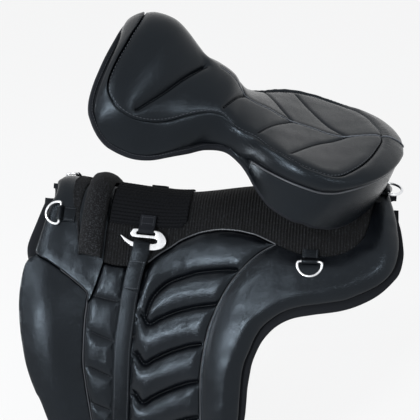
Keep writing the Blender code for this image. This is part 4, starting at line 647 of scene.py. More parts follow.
def joined(*sides):
    """One closed outline from several sides, corners kept."""
    out = [sides[0]]
    for side in sides[1:]:
        out.append(side[1:])
    loop = np.vstack(out)
    if np.linalg.norm(loop[0] - loop[-1]) < 1e-6:
        loop = loop[:-1]
    return loop


def area(loop):
    x, y = loop[:, 0], loop[:, 1]
    return 0.5 * float(np.sum(x * np.roll(y, -1) - np.roll(x, -1) * y))


def sideways(loop, closed=True):
    """Unit directions to the left of a line."""
    if closed:
        run = np.roll(loop, -1, 0) - np.roll(loop, 1, 0)
    else:
        run = np.gradient(loop, axis=0)
    run = run / np.maximum(np.linalg.norm(run, axis=1, keepdims=True), 1e-9)
    return np.stack((-run[:, 1], run[:, 0]), -1)


def near(points, lines):
    """For each point: distance to the nearest line, distance along it, and the side, -1 to 1."""
    best = np.full(len(points), 9.0)
    along = np.zeros(len(points))
    side = np.zeros(len(points))
    for line in lines:
        steps = np.linalg.norm(np.diff(line, axis=0), axis=1)
        marks = np.concatenate(([0.0], np.cumsum(steps)))
        for k in range(len(line) - 1):
            run = line[k + 1] - line[k]
            length = max(steps[k], 1e-9)
            offset = points - line[k]
            t = np.clip(offset @ run / length**2, 0.0, 1.0)
            gap = np.linalg.norm(offset - t[:, None] * run, axis=1)
            closer = gap < best
            best[closer] = gap[closer]
            along[closer] = marks[k] + t[closer] * length
            across = (run[0] * offset[closer, 1] - run[1] * offset[closer, 0]) / length
            side[closer] = across / np.maximum(gap[closer], 1e-6)
    return best, along, side


def within(points, loop):
    """Which points lie inside a closed outline."""
    hit = np.zeros(len(points), bool)
    for a, b in zip(loop, np.roll(loop, -1, 0)):
        crosses = (a[1] > points[:, 1]) != (b[1] > points[:, 1])
        if a[1] != b[1]:
            at = (b[0] - a[0]) * (points[:, 1] - a[1]) / (b[1] - a[1]) + a[0]
            hit ^= crosses & (points[:, 0] < at)
    return hit


print("curve helpers ready")

# %% [markdown]
# ## Filling an outline with a fine net
#
# A quilted pad needs small faces where it is sewn and large ones between. So points go down
# in rows beside every edge and sewn line, an even grid fills the rest, and a Delaunay
# triangulation joins them. Two such nets, one over the other, make a closed body.


# %% The net
def thinned(points, gap, kept):
    """Points at least a gap away from each other and from those kept before."""
    cells = {}
    for p in kept:
        cells.setdefault((int(p[0] // gap), int(p[1] // gap)), []).append(p)
    out = []
    for p in points:
        i, j = int(p[0] // gap), int(p[1] // gap)
        clear = True
        for a in (i - 1, i, i + 1):
            for b in (j - 1, j, j + 1):
                for q in cells.get((a, b), ()):
                    if (q[0] - p[0])**2 + (q[1] - p[1])**2 < gap * gap:
                        clear = False
        if clear:
            cells.setdefault((i, j), []).append(p)
            out.append(p)
    return out


def net(loop, cell, bands=(), lines=(), rows=(), step=0.0016):
    """The loop, and the points and triangles inside it; the loop's points come first."""
    if area(loop) < 0:
        loop = loop[::-1]
    closed = closed_up(loop)
    inward = sideways(loop)
    groups = []
    for d in bands:
        ring = loop + inward * d
        ring = ring[within(ring, loop)]
        if len(ring):
            groups.append((ring[near(ring, [closed])[0] > d * 0.86], max(d * 0.42, 0.0005)))
    edge = bands[-1] if bands else 0.0
    for line in lines:
        dense = smooth(line, step)
        out = sideways(dense, False)
        for d in rows:
            for sign in ((1, -1) if d else (1,)):
                groups.append((dense + out * d * sign, step * 0.55))
    low, high = loop.min(0), loop.max(0)
    xs = np.arange(low[0], high[0], cell)
    ys = np.arange(low[1], high[1], cell * 0.866)
    grid = np.array([(x + (k % 2) * cell / 2, y) for k, y in enumerate(ys) for x in xs])
    clear = np.ones(len(grid), bool)
    if lines:
        clear = near(grid, lines)[0] > max(rows) + step * 0.4
    groups.append((grid[clear], cell * 0.62))
    kept = [tuple(p) for p in loop]
    for number, (group, gap) in enumerate(groups):
        group = group[within(group, loop)] if len(group) else group
        if not len(group):
            continue
        if number >= len(bands):
            away = near(group, [closed])[0]
            group = group[away > (edge + gap * 0.6 if number == len(groups) - 1 else 0.0009)]
        kept += thinned([tuple(p) for p in group], gap, kept)
    count = len(loop)
    scaled = [Vector((p[0] * 4.0, p[1] * 4.0)) for p in kept]
    result = delaunay_2d_cdt(scaled, [], [list(range(count))], 1, 1e-7)
    flat = np.array([(v.x / 4.0, v.y / 4.0) for v in result[0]])
    faces = [tuple(f) for f in result[2]]
    return loop, flat, faces


def rim_of(faces):
    """Border edges of triangles, as they run in their faces."""
    seen = {(f[k], f[(k + 1) % len(f)]) for f in faces for k in range(len(f))}
    return [(a, b) for a, b in seen if (b, a) not in seen]


def two_nets(top_points, top_faces, low_points, low_faces, top_flat, low_flat):
    """Closed body between two nets over the same outline."""
    base = len(top_points)
    faces = [tuple(f) for f in top_faces]
    faces += [tuple(v + base for v in reversed(f)) for f in low_faces]
    low_rim = {v for edge in rim_of(low_faces) for v in edge}
    find = {(round(low_flat[v][0], 5), round(low_flat[v][1], 5)): v for v in low_rim}
    for a, b in rim_of(top_faces):
        low_a = find[(round(top_flat[a][0], 5), round(top_flat[a][1], 5))]
        low_b = find[(round(top_flat[b][0], 5), round(top_flat[b][1], 5))]
        faces.append((b, a, low_a + base, low_b + base))
    return np.vstack((top_points, low_points)), faces


print("net helpers ready")

# %% [markdown]
# ## Making objects
#
# Each piece becomes one mesh object that rides on a body of the solid model and takes the place
# of the solid pieces that it dresses.

# %% Making a piece
made_pieces = []


def make(name, points, faces, finish, slot, body, stands_for=(), fill=None, sharp=40.0):
    """One mesh object on a body, in place of the named nodes."""
    name += "_dressed" if name in frame["nodes"] else ""
    mesh = bpy.data.meshes.new(name)
    mesh.from_pydata([tuple(map(float, p)) for p in points], [], [tuple(f) for f in faces])
    body_mesh = bmesh.new()
    body_mesh.from_mesh(mesh)
    bmesh.ops.recalc_face_normals(body_mesh, faces=body_mesh.faces)
    open_edges = sum(1 for edge in body_mesh.edges if not edge.is_manifold)
    body_mesh.to_mesh(mesh)
    body_mesh.free()
    if open_edges:
        print(name, "has", open_edges, "open edges")
    mesh.materials.append(finish)
    mesh.shade_smooth()
    if sharp:
        mesh.set_sharp_from_angle(angle=math.radians(sharp))
    piece = bpy.data.objects.new(name, mesh)
    bpy.context.scene.collection.objects.link(piece)
    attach(piece, body)
    if stands_for:
        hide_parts(*stands_for)
    made_pieces.append((name, len(faces)))
    return piece


def mirror(points, faces):
    """The same piece on the off side."""
    turned = np.array(points, float) * (1.0, -1.0, 1.0)
    return turned, [tuple(reversed(f)) for f in faces]


def both(stem, points, faces, finish, slot, body, stands_for=(), fill=None, sharp=40.0):
    """The near piece and its mirror image; {} in a name stands for the side."""
    for side, (p, f) in (("left", (points, faces)), ("right", mirror(points, faces))):
        make(f"{stem}_{side}", p, f, finish, slot, body.format(side),
             [n.format(side) for n in stands_for], fill, sharp)


UNDER_CELL = 0.016


def layer(loop, low, high, cell, bands=(0.0008, 0.0020, 0.0038, 0.0065), lines=(), rows=(), step=0.0016):
    """Closed body over an outline on the back; high is a function of x and s."""
    loop, flat, faces = net(loop, cell, bands, lines, rows, step)
    low_flat, low_faces = net(loop, UNDER_CELL)[1:]
    top = place(flat[:, 0], flat[:, 1], high(flat))
    under = place(low_flat[:, 0], low_flat[:, 1], np.full(len(low_flat), low))
    return two_nets(top, faces, under, low_faces, flat, low_flat)


def curled(distance, width, edge_share):
    """Share of the height near an edge that curls down over a width."""
    t = np.clip(distance / width, 0.0, 1.0)
    return edge_share + (1.0 - edge_share) * np.sqrt(np.maximum(0.0, 1.0 - (1.0 - t)**2))


def ripple(x, s, size, height, seed=0.0):
    """Slow uneven rise and fall of hand-laid padding, from a few crossed waves."""
    total = np.zeros(len(x))
    for k in range(5):
        turn = 1.7 * k + seed
        u = x * math.cos(turn) + s * math.sin(turn)
        total += np.sin(u / size * math.tau * (1.0 + 0.37 * k) + 2.3 * k + seed) / (1.0 + 0.5 * k)
    return total * height * 0.4


def mirrored(half):
    """Close a half outline, that starts and ends on the spine, with its mirror image."""
    return np.vstack((half, (half[1:-1] * (1.0, -1.0))[::-1]))


print("piece helpers ready")

# %% [markdown]
# ## Under-panels, core and pommel arch
#
# Two lined panels lie on the horse, with an open channel over the spine. Their edge shows all
# round as a dark bound band, so it gets a rolled edge and a sewn binding line. Between the
# panels and the leather lie the supple core and the springy arch at the front.

# %% Panels, core and arch
FRONT_EDGE = on_plan(FRONT_EDGE_SHARES)
KNEE_SEAM = on_plan(KNEE_SEAM_SHARES)
FACING_SEAM = on_plan(FACING_SEAM_SHARES)
FIELD_EDGE = on_plan(FIELD_EDGE_SHARES)
REAR_SEAM = on_plan(REAR_SEAM_SHARES)
CHANNEL_HALF_WIDTH, BINDING_WIDTH = 0.020, 0.0100

half = on_plan(PANEL_EDGE_SHARES)
edge = smooth(half[half[:, 1] > CHANNEL_HALF_WIDTH * 1.2], 0.004)
panel_loop = joined(np.array([(edge[0, 0], CHANNEL_HALF_WIDTH), edge[0]]), edge,
                    np.array([edge[-1], (edge[-1, 0], CHANNEL_HALF_WIDTH)]),
                    smooth([(edge[-1, 0], CHANNEL_HALF_WIDTH), (edge[0, 0], CHANNEL_HALF_WIDTH)], 0.008))


def panel_height(flat):
    away = near(flat, [edge])[0]
    sewn = np.exp(-((away - BINDING_WIDTH) / 0.0012)**2) * 0.0008
    return PANEL_THICK * curled(away, 0.0070, 0.62) - sewn


points, faces = layer(panel_loop, 0.0, panel_height, 0.010,
                      (0.0006, 0.0016, 0.0034, 0.0060, 0.0088, 0.0100, 0.0114))
both("under_panel", points, faces, lining_cloth, "panel_lining", "base", ["under_panel_{}"], 0.5)

for name, shares, finish, slot in (("spine_core", CORE_SHARES, foam_stuff, "foam"),
                                   ("pommel_arch", ARCH_SHARES, board_stuff, "stiffener")):
    points, faces = layer(mirrored(on_plan(shares)), CORE_LOW,
                          lambda flat: np.full(len(flat), CORE_LOW + CORE_THICK), 0.012, ())
    make(name, points, faces, finish, slot, "base", [name])
print("made", made_pieces[-4:])

# %% [markdown]
# ## Pommel facing and seat field
#
# The facing is one smooth padded piece of leather over the withers. Behind it the field is a
# flat pad of rough loop fabric that the seat sticks to. Both cross the spine in one piece.

# %% Facing and field
knee_top = smooth(KNEE_SEAM[:5], 0.003)
facing_side = smooth(np.vstack((KNEE_SEAM[4:5], FACING_SEAM[::-1])), 0.003)
front_side = smooth(FRONT_EDGE, 0.003)
field_front = FIELD_EDGE[0, 0]
half = joined(front_side, knee_top, facing_side,
              np.array([(field_front, FIELD_EDGE[0, 1]), (field_front, 0.05), (field_front, 0.0)]))
facing_loop = mirrored(half)
front_all = np.vstack((front_side[::-1] * (1.0, -1.0), front_side[1:]))
knee_tops = [knee_top, knee_top * (1.0, -1.0)]


def facing_height(flat):
    share = curled(near(flat, [front_all])[0], 0.014, 0.42)
    away = near(flat, knee_tops)[0]
    share *= curled(away, 0.008, 0.72)
    welt = np.exp(-((away - 0.0040) / 0.0010)**2) * 0.0006
    slack = ripple(flat[:, 0], np.abs(flat[:, 1]), 0.045, 0.0007)
    return PAD_LOW + PAD_THICK * share - welt + slack * ease(away / 0.02)


points, faces = layer(facing_loop, PAD_LOW, facing_height, 0.0045)
make("pommel_facing", points, faces, saddle_leather, "black_leather", "base", ["pommel_facing"], 0.5)

field_side = smooth(FIELD_EDGE, 0.0035)
half = joined(np.array([(field_front, 0.0), (field_front, 0.05), (field_front, FIELD_EDGE[0, 1])]),
              field_side)
field_loop = mirrored(half)
field_loop = field_loop - sideways(field_loop) * SEAM_GAP * (0.5 if area(field_loop) < 0 else -0.5)


def field_height(flat):
    away = near(flat, [closed_up(field_loop)])[0]
    slack = ripple(flat[:, 0], flat[:, 1], 0.030, 0.0003)
    return PAD_LOW + PAD_THICK * curled(away, 0.003, 0.86) - 0.0006 - slack**2


points, faces = layer(field_loop, PAD_LOW, field_height, 0.0045)
make("seat_field", points, faces, loop_fabric, "loop_fabric", "base", ["seat_field"], 0.3)
print("made", made_pieces[-2:])

# %% [markdown]
# ## Knee blocks
#
# The fat roll at the front of each flap holds the rider's knee. It is stuffed much higher than
# the rest, and smooth, with its seam drawn down into a dark valley at the rear.

# %% Knee blocks
KNEE_CREST, KNEE_ROLL = 0.031, 0.046
knee_rear = smooth(KNEE_SEAM, 0.0035)
knee_front = smooth(on_plan(KNEE_OUTER_SHARES)[::-1], 0.0035)
knee_loop = joined(knee_rear, np.vstack((knee_rear[-1:], knee_front[:1])), knee_front,
                   np.vstack((knee_front[-1:], knee_rear[:1])))
knee_closed = closed_up(knee_loop)


def relaxed(flat, faces, height, held, rounds):
    """Let heights settle between the held points, as stretched leather does."""
    pairs = np.array([(f[k], f[(k + 1) % 3]) for f in faces for k in range(3)])
    count = np.bincount(pairs[:, 0], minlength=len(flat)) + np.bincount(pairs[:, 1], minlength=len(flat))
    for _ in range(rounds):
        total = (np.bincount(pairs[:, 0], height[pairs[:, 1]], len(flat))
                 + np.bincount(pairs[:, 1], height[pairs[:, 0]], len(flat)))
        height = np.where(held, height, total / np.maximum(count, 1))
    return height


def stuffed(loop, low, height, cell, bands, held_reach, rounds):
    """Closed stuffed body whose top has settled smooth away from its edge."""
    loop, flat, faces = net(loop, cell, bands)
    low_flat, low_faces = net(loop, UNDER_CELL)[1:]
    tall = height(flat)
    away = near(flat, [closed_up(loop)])[0]
    tall = relaxed(flat, faces, tall, away < held_reach, rounds)
    top = place(flat[:, 0], flat[:, 1], tall)
    under = place(low_flat[:, 0], low_flat[:, 1], np.full(len(low_flat), low))
    return two_nets(top, faces, under, low_faces, flat, low_flat)


def knee_height(flat):
    away = near(flat, [knee_closed])[0]
    rear = near(flat, [knee_rear])[0]
    return PAD_LOW + KNEE_CREST * curled(away, KNEE_ROLL, 0.16) * (0.50 + 0.50 * ease(rear / 0.075))


points, faces = stuffed(knee_loop, PAD_LOW, knee_height, 0.0045,
                        (0.0008, 0.0020, 0.0040, 0.0070), 0.003, 60)
both("knee_block", points, faces, saddle_leather, "black_leather", "base", ["knee_block_{}"], 0.8)
print("made", made_pieces[-2:])

# %% [markdown]
# ## Quilted flaps
#
# The flap is leather over foam, sewn through in arcs and chevrons. Each seam pulls the
# leather down into a sharp valley, and the slack gathers into small pleats, one a stitch. The
# height is a pillow that grows with the distance from the nearest seam, less a valley for the
# stirrup leather, and the pleats are a wave along the seam that dies away beside it.

# %% Flaps
PLEAT_PITCH = 0.0046
PLEAT_REACH, PLEAT_HEIGHT = 0.0052, 0.00085
STRAP_WIDTH = 0.025
STRAP_LINE = on_plan(STRAP_LINE_SHARES)
VALLEY_DEPTH = 0.0045
FLAP_ROLL, FLAP_DOME = 0.012, 0.0044
SEAM_DRAW, STEEP_SIDE, GENTLE_SIDE = 0.0095, 0.0042, 0.0085


def flap_channels():
    """Sewn channels of one flap: the arc, the chevrons and the front band's bars."""
    channels = [on_plan(ARC_CHANNEL_SHARES)]
    for number in range(5):
        drop = 0.338 + 0.107 * number
        reach = 0.010 if number else -0.010
        shares = [(x - reach * 0.3, s + drop) for x, s in CHEVRON_SHARES]
        if number == 0:
            shares[-1] = (0.0, shares[-1][1] + 0.004)
        channels.append(on_plan(shares))
    for number in range(6):
        fall = (0.008, 0.020, 0.024)[min(number, 2)]
        top = 0.272 + 0.091 * number
        channels.append(on_plan([(-0.372, top), (-0.335, top + fall / 2), (-0.298, top + fall)]))
    return [smooth(line, 0.003) for line in channels]


channels = flap_channels()
flap_sides = [smooth(KNEE_SEAM[4:], 0.003), smooth(on_plan(FLAP_FOOT_SHARES), 0.003),
              smooth(REAR_SEAM[::-1], 0.003), smooth(FIELD_EDGE[:16][::-1], 0.003),
              smooth(np.vstack((FIELD_EDGE[:1], FACING_SEAM[1:], KNEE_SEAM[4:5])), 0.003)]
flap_loop = joined(*flap_sides)
flap_loop = flap_loop + sideways(flap_loop) * SEAM_GAP * 0.5 * (1.0 if area(flap_loop) > 0 else -1.0)
valley = smooth(STRAP_LINE[1:], 0.004)
valley_side = np.sign(near(np.array([[0.0, 0.25]]), [valley])[2][0])


def pleats(away, along):
    """Small pleats that a row of stitches gathers beside a seam."""
    wave = 0.5 + 0.5 * np.cos(along / PLEAT_PITCH * math.tau)
    fade = np.exp(-((away - PLEAT_REACH) / (PLEAT_REACH * 0.62))**2)
    return PLEAT_HEIGHT * wave * fade * ease(away / 0.0015)


def pillows(flat, lines, depth, steep, gentle):
    """How far seams draw the leather down: steeply on the near side, gently above with pleats."""
    drawn, gathered = np.zeros(len(flat)), np.zeros(len(flat))
    for line in lines:
        away, along, side = near(flat, [line])
        above = ease((1.0 - side) / 2)
        drawn = np.maximum(drawn, depth * np.exp(-away / (steep + (gentle - steep) * above)))
        gathered = np.maximum(gathered, pleats(away, along) * above)
    return drawn - gathered


def flap_height(flat):
    closed = closed_up(flap_loop)
    edge = near(flat, [closed])[0]
    seam = near(flat, channels)[0]
    share = curled(edge, FLAP_ROLL, 0.45)
    trough, _, side = near(flat, [valley])
    main = ease(side * valley_side * 0.5 + 0.5)
    trough = trough - (STRAP_WIDTH / 2 + 0.001)
    open_share = ease(trough / 0.016)
    dome = FLAP_DOME * (1.0 - np.exp(-np.minimum(seam, edge) / 0.014)) * open_share * (0.35 + 0.65 * main)
    top = PAD_LOW + PAD_THICK * share
    drawn = pillows(flat, channels, SEAM_DRAW, STEEP_SIDE, GENTLE_SIDE) * share * (0.50 + 0.50 * main)
    slack = ripple(flat[:, 0], flat[:, 1], 0.038, 0.0005) * open_share
    sunk = VALLEY_DEPTH * (1.0 - ease(trough / 0.009))
    return np.minimum(top + dome + slack - drawn, top + dome - sunk + 0.002 * open_share)


ROWS = (0.0, 0.0008, 0.0018, 0.0030, 0.0044, 0.0058, 0.0074, 0.0092)
points, faces = layer(flap_loop, PAD_LOW, flap_height, 0.0040, (0.0008, 0.0020, 0.0040, 0.0065, 0.0095),
                      channels, ROWS, 0.00115)
both("flap", points, faces, saddle_leather, "black_leather", "base", ["flap_{}"], 0.6)
print("made", made_pieces[-2:])

# %% [markdown]
# ## Rear skirts
#
# A smooth padded skirt runs round behind the field and down behind the quilting. Its edge is
# rolled, and the seam against the flap carries a fine turned edge.

# %% Rear skirts
SKIRT_ROLL, SKIRT_PUFF = 0.024, 0.0042
skirt_edge = smooth(on_plan(SKIRT_EDGE_SHARES), 0.0035)
skirt_loop = joined(skirt_edge, smooth(REAR_SEAM[::-1], 0.003), smooth(FIELD_EDGE[15:], 0.003),
                    np.array([(FIELD_EDGE[-1, 0], 0.0), (0.216, 0.0), (0.222, 0.0), skirt_edge[0]]))
skirt_loop = skirt_loop + sideways(skirt_loop) * SEAM_GAP * 0.5 * (1.0 if area(skirt_loop) > 0 else -1.0)
rear_seam = smooth(REAR_SEAM, 0.003)


def skirt_height(flat):
    spread = 0.15 + 0.85 * ease(flat[:, 1] / 0.078)
    edge = near(flat, [skirt_edge])[0]
    share = curled(edge / (SKIRT_ROLL * spread), 1.0, 0.12)
    seam = near(flat, [rear_seam])[0]
    share *= curled(seam, 0.013, 0.60)
    field = near(flat, [field_side])[0]
    turned = (np.exp(-((seam - 0.0016) / 0.0008)**2) * 0.0010
              - np.exp(-((seam - 0.0040) / 0.0009)**2) * 0.0006)
    puff = SKIRT_PUFF * ease(edge / 0.022) * ease(np.minimum(seam, field + 0.004) / 0.030)
    slack = ripple(flat[:, 0], flat[:, 1], 0.052, 0.0006, 1.3) * ease(seam / 0.02) * ease(field / 0.012)
    return PAD_LOW + PAD_THICK * share + turned + puff * spread + slack


points, faces = layer(skirt_loop, PAD_LOW, skirt_height, 0.0042,
                      (0.0006, 0.0012, 0.0020, 0.0030, 0.0042, 0.0060, 0.0085))
both("rear_skirt", points, faces, saddle_leather, "black_leather", "base", ["rear_skirt_{}"], 0.6)
print("made", made_pieces[-2:])

# %% [markdown]
# ## Straps, cords and stitches
#
# A strap is a flat section swept along a path. Its long edges are rounded, and a shallow groove
# runs inside each edge, where the thread lies. A stitch is a small capsule that is sunk half
# into the surface, so a row of them catches the light as thread does.


# %% Sweeping
def unit(v):
    return v / np.maximum(np.linalg.norm(v, axis=-1, keepdims=True), 1e-12)


def swept(path, across, section, closed=False):
    """Sweep a section of (across, up) points along a path, with flat ends."""
    path, across = np.asarray(path, float), np.asarray(across, float)
    if closed:
        run = unit(np.roll(path, -1, 0) - np.roll(path, 1, 0))
    else:
        run = unit(np.gradient(path, axis=0))
    side = unit(across - run * np.sum(across * run, axis=1, keepdims=True))
    up = np.cross(side, run)
    section = np.asarray(section, float)
    if section.ndim == 2:
        section = np.repeat(section[None], len(path), 0)
    points = (path[:, None] + side[:, None] * section[:, :, :1] + up[:, None] * section[:, :, 1:])
    size, count = section.shape[1], len(path)
    faces = []
    for k in range(count if closed else count - 1):
        n = (k + 1) % count
        faces += [(k * size + r, k * size + (r + 1) % size, n * size + (r + 1) % size, n * size + r)
                  for r in range(size)]
    if not closed:
        faces += [tuple(range(size - 1, -1, -1)), tuple((count - 1) * size + r for r in range(size))]
    return points.reshape(-1, 3), faces


def circle(radius, sides):
    turn = np.arange(sides) / sides * math.tau
    return np.stack((np.cos(turn), np.sin(turn)), -1) * radius


def strap_section(width, thick, groove=0.00035, inset=0.0024):
    """Flat section with rounded edges, a faint crown and a sewn groove inside each edge."""
    w, t, r = width / 2, thick / 2, min(thick * 0.38, 0.0011)
    half = [(w - r, -t), (w - r * 0.3, -t + r * 0.3), (w, -t + r), (w, t - r), (w - r * 0.3, t - r * 0.3),
            (w - r, t), (w - inset + 0.0007, t + groove * 0.3), (w - inset, t - groove),
            (w - inset - 0.0007, t + groove * 0.3), (w * 0.45, t + groove * 0.5)]
    return half + [(0.0, t + groove * 0.6)] + [(-u, v) for u, v in reversed(half)]


def stitches(path, outward, pitch, length, radius):
    """A row of short sunk capsules along a path."""
    path, outward = np.asarray(path, float), np.asarray(outward, float)
    marks = distances(path)
    at = np.arange(pitch * 0.5, marks[-1], pitch)
    middle = np.stack([np.interp(at, marks, path[:, k]) for k in range(3)], -1)
    up = unit(np.stack([np.interp(at, marks, outward[:, k]) for k in range(3)], -1))
    run = unit(np.stack([np.interp(at + 0.0004, marks, path[:, k]) - np.interp(at - 0.0004, marks, path[:, k])
                         for k in range(3)], -1))
    side = unit(np.cross(up, run))
    rings = ((-0.5, 0.25), (-0.38, 0.8), (0.0, 1.0), (0.38, 0.8), (0.5, 0.25))
    sides = 6
    points, faces = [], []
    for m, r, s, u in zip(middle, run, side, up):
        base = len(points)
        for along, size in rings:
            for k in range(sides):
                turn = k / sides * math.tau
                points.append(m + r * along * length
                              + (s * math.cos(turn) + u * math.sin(turn)) * radius * size
                              - u * radius * abs(along) * 1.2)
        for i in range(len(rings) - 1):
            for k in range(sides):
                n = (k + 1) % sides
                a, b = base + i * sides, base + (i + 1) * sides
                faces.append((a + k, b + k, b + n, a + n))
        faces.append(tuple(base + k for k in range(sides)))
        faces.append(tuple(base + (len(rings) - 1) * sides + k for k in range(sides - 1, -1, -1)))
    return np.array(points), faces


def stacked(*parts):
    """Several closed bodies as one mesh."""
    points, faces, base = [], [], 0
    for p, f in parts:
        points.append(np.asarray(p, float))
        faces += [tuple(v + base for v in face) for face in f]
        base += len(p)
    return np.vstack(points), faces


def on_back(flat, height):
    """Places of a height function's surface along a plan line, and the ways out."""
    h = height(flat) if callable(height) else np.full(len(flat), height)
    return place(flat[:, 0], flat[:, 1], h), back_normal(flat[:, 0], flat[:, 1])


def offset_line(line, amount):
    return line + sideways(line, False) * amount


print("sweeping ready")

# %% [markdown]
# ## Seam threads and fine edges on the pads
#
# Thread runs in every quilted channel, along the turned edge of the rear skirt and beside the knee
# seam. A thin round welt closes the field against the quilting.

# %% Thread on the pads
THREAD = 0.00042
rows = []
for line in channels:
    dense = smooth(line, 0.0012)
    keep = within(dense, flap_loop)
    dense = dense[keep]
    if len(dense) > 4:
        path, out = on_back(dense, flap_height)
        rows.append(stitches(path + out * 0.0001, out, PLEAT_PITCH, PLEAT_PITCH * 0.62, THREAD))
knee_line = smooth(KNEE_SEAM[4:], 0.002)
for amount in (0.0034, -0.0034):
    line = offset_line(knee_line, amount)
    inner = within(line, flap_loop) & (near(line, [closed_up(flap_loop)])[0] > 0.0024)
    if inner.sum() > len(line) * 0.6:
        path, out = on_back(line[inner], flap_height)
        rows.append(stitches(path, out, 0.0042, 0.0028, THREAD))
points, faces = stacked(*rows)
both("flap_thread", points, faces, thread_stuff, "black_leather", "base")

rows = []
for amount in (0.0042, -0.0042):
    line = offset_line(smooth(REAR_SEAM[1:], 0.002), amount)
    inner = within(line, skirt_loop)
    if inner.sum() > len(line) * 0.6:
        path, out = on_back(line[inner], skirt_height)
        rows.append(stitches(path, out, 0.0042, 0.0029, THREAD))
points, faces = stacked(*rows)
both("skirt_thread", points, faces, thread_stuff, "black_leather", "base")


def welt(line, height, radius, sink=0.3):
    """Thin round cord laid along a plan line."""
    path, out = on_back(line, height)
    path = path - out * radius * sink
    along = unit(np.gradient(path, axis=0))
    return swept(path, np.cross(out, along), circle(radius, 8))


WELT_RADIUS = 0.0011
arc_edge = smooth(FIELD_EDGE[4:16], 0.0025)
rim_height = PAD_LOW + PAD_THICK * 0.93
points, faces = welt(arc_edge, rim_height, WELT_RADIUS, 0.2)
both("field_welt", points, faces, edge_leather, "black_leather", "base")
line = smooth(REAR_SEAM, 0.0025)
points, faces = welt(line, PAD_LOW + PAD_THICK * 0.72, WELT_RADIUS)
both("seam_welt", points, faces, edge_leather, "black_leather", "base")
line = smooth(KNEE_SEAM[1:-1], 0.0025)
points, faces = welt(line, PAD_LOW + PAD_THICK * 0.62, 0.0010)
both("knee_welt", points, faces, edge_leather, "black_leather", "base")
print("made", made_pieces[-10:])

# %% [markdown]
# ## Pommel gear
#
# A padded strap crosses the withers, with a strip of hook fabric in front of it and a wide piece
# of ribbed webbing behind it. The ribs are real ridges, because they are what the eye sees.

# %% Padded strap, hook strip and webbing
STRAP_REAR = -0.356 * LENGTH - 0.0005
ROLL_WIDTH, ROLL_REACH, ROLL_CREST = 0.035, 0.087, 0.015
corner = ROLL_WIDTH / 6
front = STRAP_REAR - ROLL_WIDTH
half = np.array([(front, 0.0), (front, ROLL_REACH - corner), (front + corner, ROLL_REACH),
                 (STRAP_REAR - corner, ROLL_REACH), (STRAP_REAR, ROLL_REACH - corner), (STRAP_REAR, 0.0)])
roll_loop = smooth(mirrored(half), 0.0028, True)
roll_closed = closed_up(roll_loop)


def roll_height(flat):
    away = near(flat, [roll_closed])[0]
    plump = ROLL_CREST * (1.0 + 0.05 * np.sin(flat[:, 1] / 0.0115 + 0.6) + 0.04 * np.sin(flat[:, 1] / 0.0047))
    sewn = 0.0009 * np.exp(-((away - 0.0036) / 0.0009)**2)
    return ON_TOP + plump * curled(away, ROLL_WIDTH * 0.34, 0.24) - sewn


points, faces = stuffed(roll_loop, ON_TOP, roll_height, 0.0028, (0.0006, 0.0015, 0.0030), 0.0020, 14)
make("pommel_strap", points, faces, hook_fabric, "loop_fabric", "base", ["pommel_strap"], 0.8)

strip_rear = STRAP_REAR - 0.0005 - ROLL_WIDTH
strip_front = on_plan(HOOK_STRIP_FRONT_SHARES)
half = joined(smooth(strip_front, 0.004), np.array([strip_front[-1], (strip_rear, strip_front[-1, 1])]),
              np.array([(strip_rear, strip_front[-1, 1]), (strip_rear, 0.0)]))
hook_loop = mirrored(half)
hook_closed = closed_up(hook_loop)


def hook_height(flat):
    away = near(flat, [hook_closed])[0]
    sewn = np.exp(-((away - 0.0030) / 0.0008)**2) * 0.0005
    return ON_TOP + 0.0016 * curled(away, 0.0012, 0.5) - sewn


points, faces = layer(hook_loop, ON_TOP, hook_height, 0.0035, (0.0006, 0.0016, 0.0023, 0.0030, 0.0037))
make("hook_strip", points, faces, hook_fabric, "loop_fabric", "base", ["hook_strip"])

WEB_FRONT, WEB_REAR, WEB_REACH, WEB_THICK = -0.346 * LENGTH, -0.110 * LENGTH, 0.043, 0.0026
RIB_PITCH, RIB_HEIGHT, WEB_STEPS = 0.0043, 0.0016, 96


def ribbed_sheet(front, rear, reach, low, thick, pitch, height, corner):
    """Webbing with ribs along X, as rows of points across the spine."""
    s = np.arange(-reach, reach + 1e-6, pitch / 6.0)
    s = np.concatenate((s[s < reach - 1e-6], [reach]))
    columns = []
    for value in s:
        cut = max(0.0, abs(value) - (reach - corner))
        columns.append((front, rear - cut))
    steps = WEB_STEPS
    x = np.array([[a + (b - a) * k / steps for k in range(steps + 1)] for a, b in columns])
    ss = np.repeat(s[:, None], steps + 1, 1)
    edge = curled(reach - np.abs(ss), 0.0022, 0.35)
    ends = curled(np.minimum(x - front, np.array([b for a, b in columns])[:, None] - x), 0.0016, 0.45)
    rib = np.abs(np.cos(ss / pitch * math.pi))**0.8
    slub = 1.0 + 0.22 * np.sin(x / 0.00095 + 9.0 * np.round(ss / pitch))
    top = low + (thick - height + height * rib * slub) * edge * ends
    up = place(x.ravel(), ss.ravel(), top.ravel())
    under = place(x.ravel(), ss.ravel(), np.full(x.size, low))
    n = steps + 1
    rows_count = len(s)
    base = rows_count * n
    faces = []
    for i in range(rows_count - 1):
        for k in range(steps):
            a, b, c, d = i * n + k, i * n + k + 1, (i + 1) * n + k + 1, (i + 1) * n + k
            faces += [(a, b, c, d), (d + base, c + base, b + base, a + base)]
    for i in range(rows_count - 1):
        for a, b in (((i + 1) * n, i * n), (i * n + steps, (i + 1) * n + steps)):
            faces.append((b, a, a + base, b + base))
    for k in range(steps):
        for a, b in ((k, k + 1), ((rows_count - 1) * n + k + 1, (rows_count - 1) * n + k)):
            faces.append((b, a, a + base, b + base))
    return np.vstack((up, under)), faces


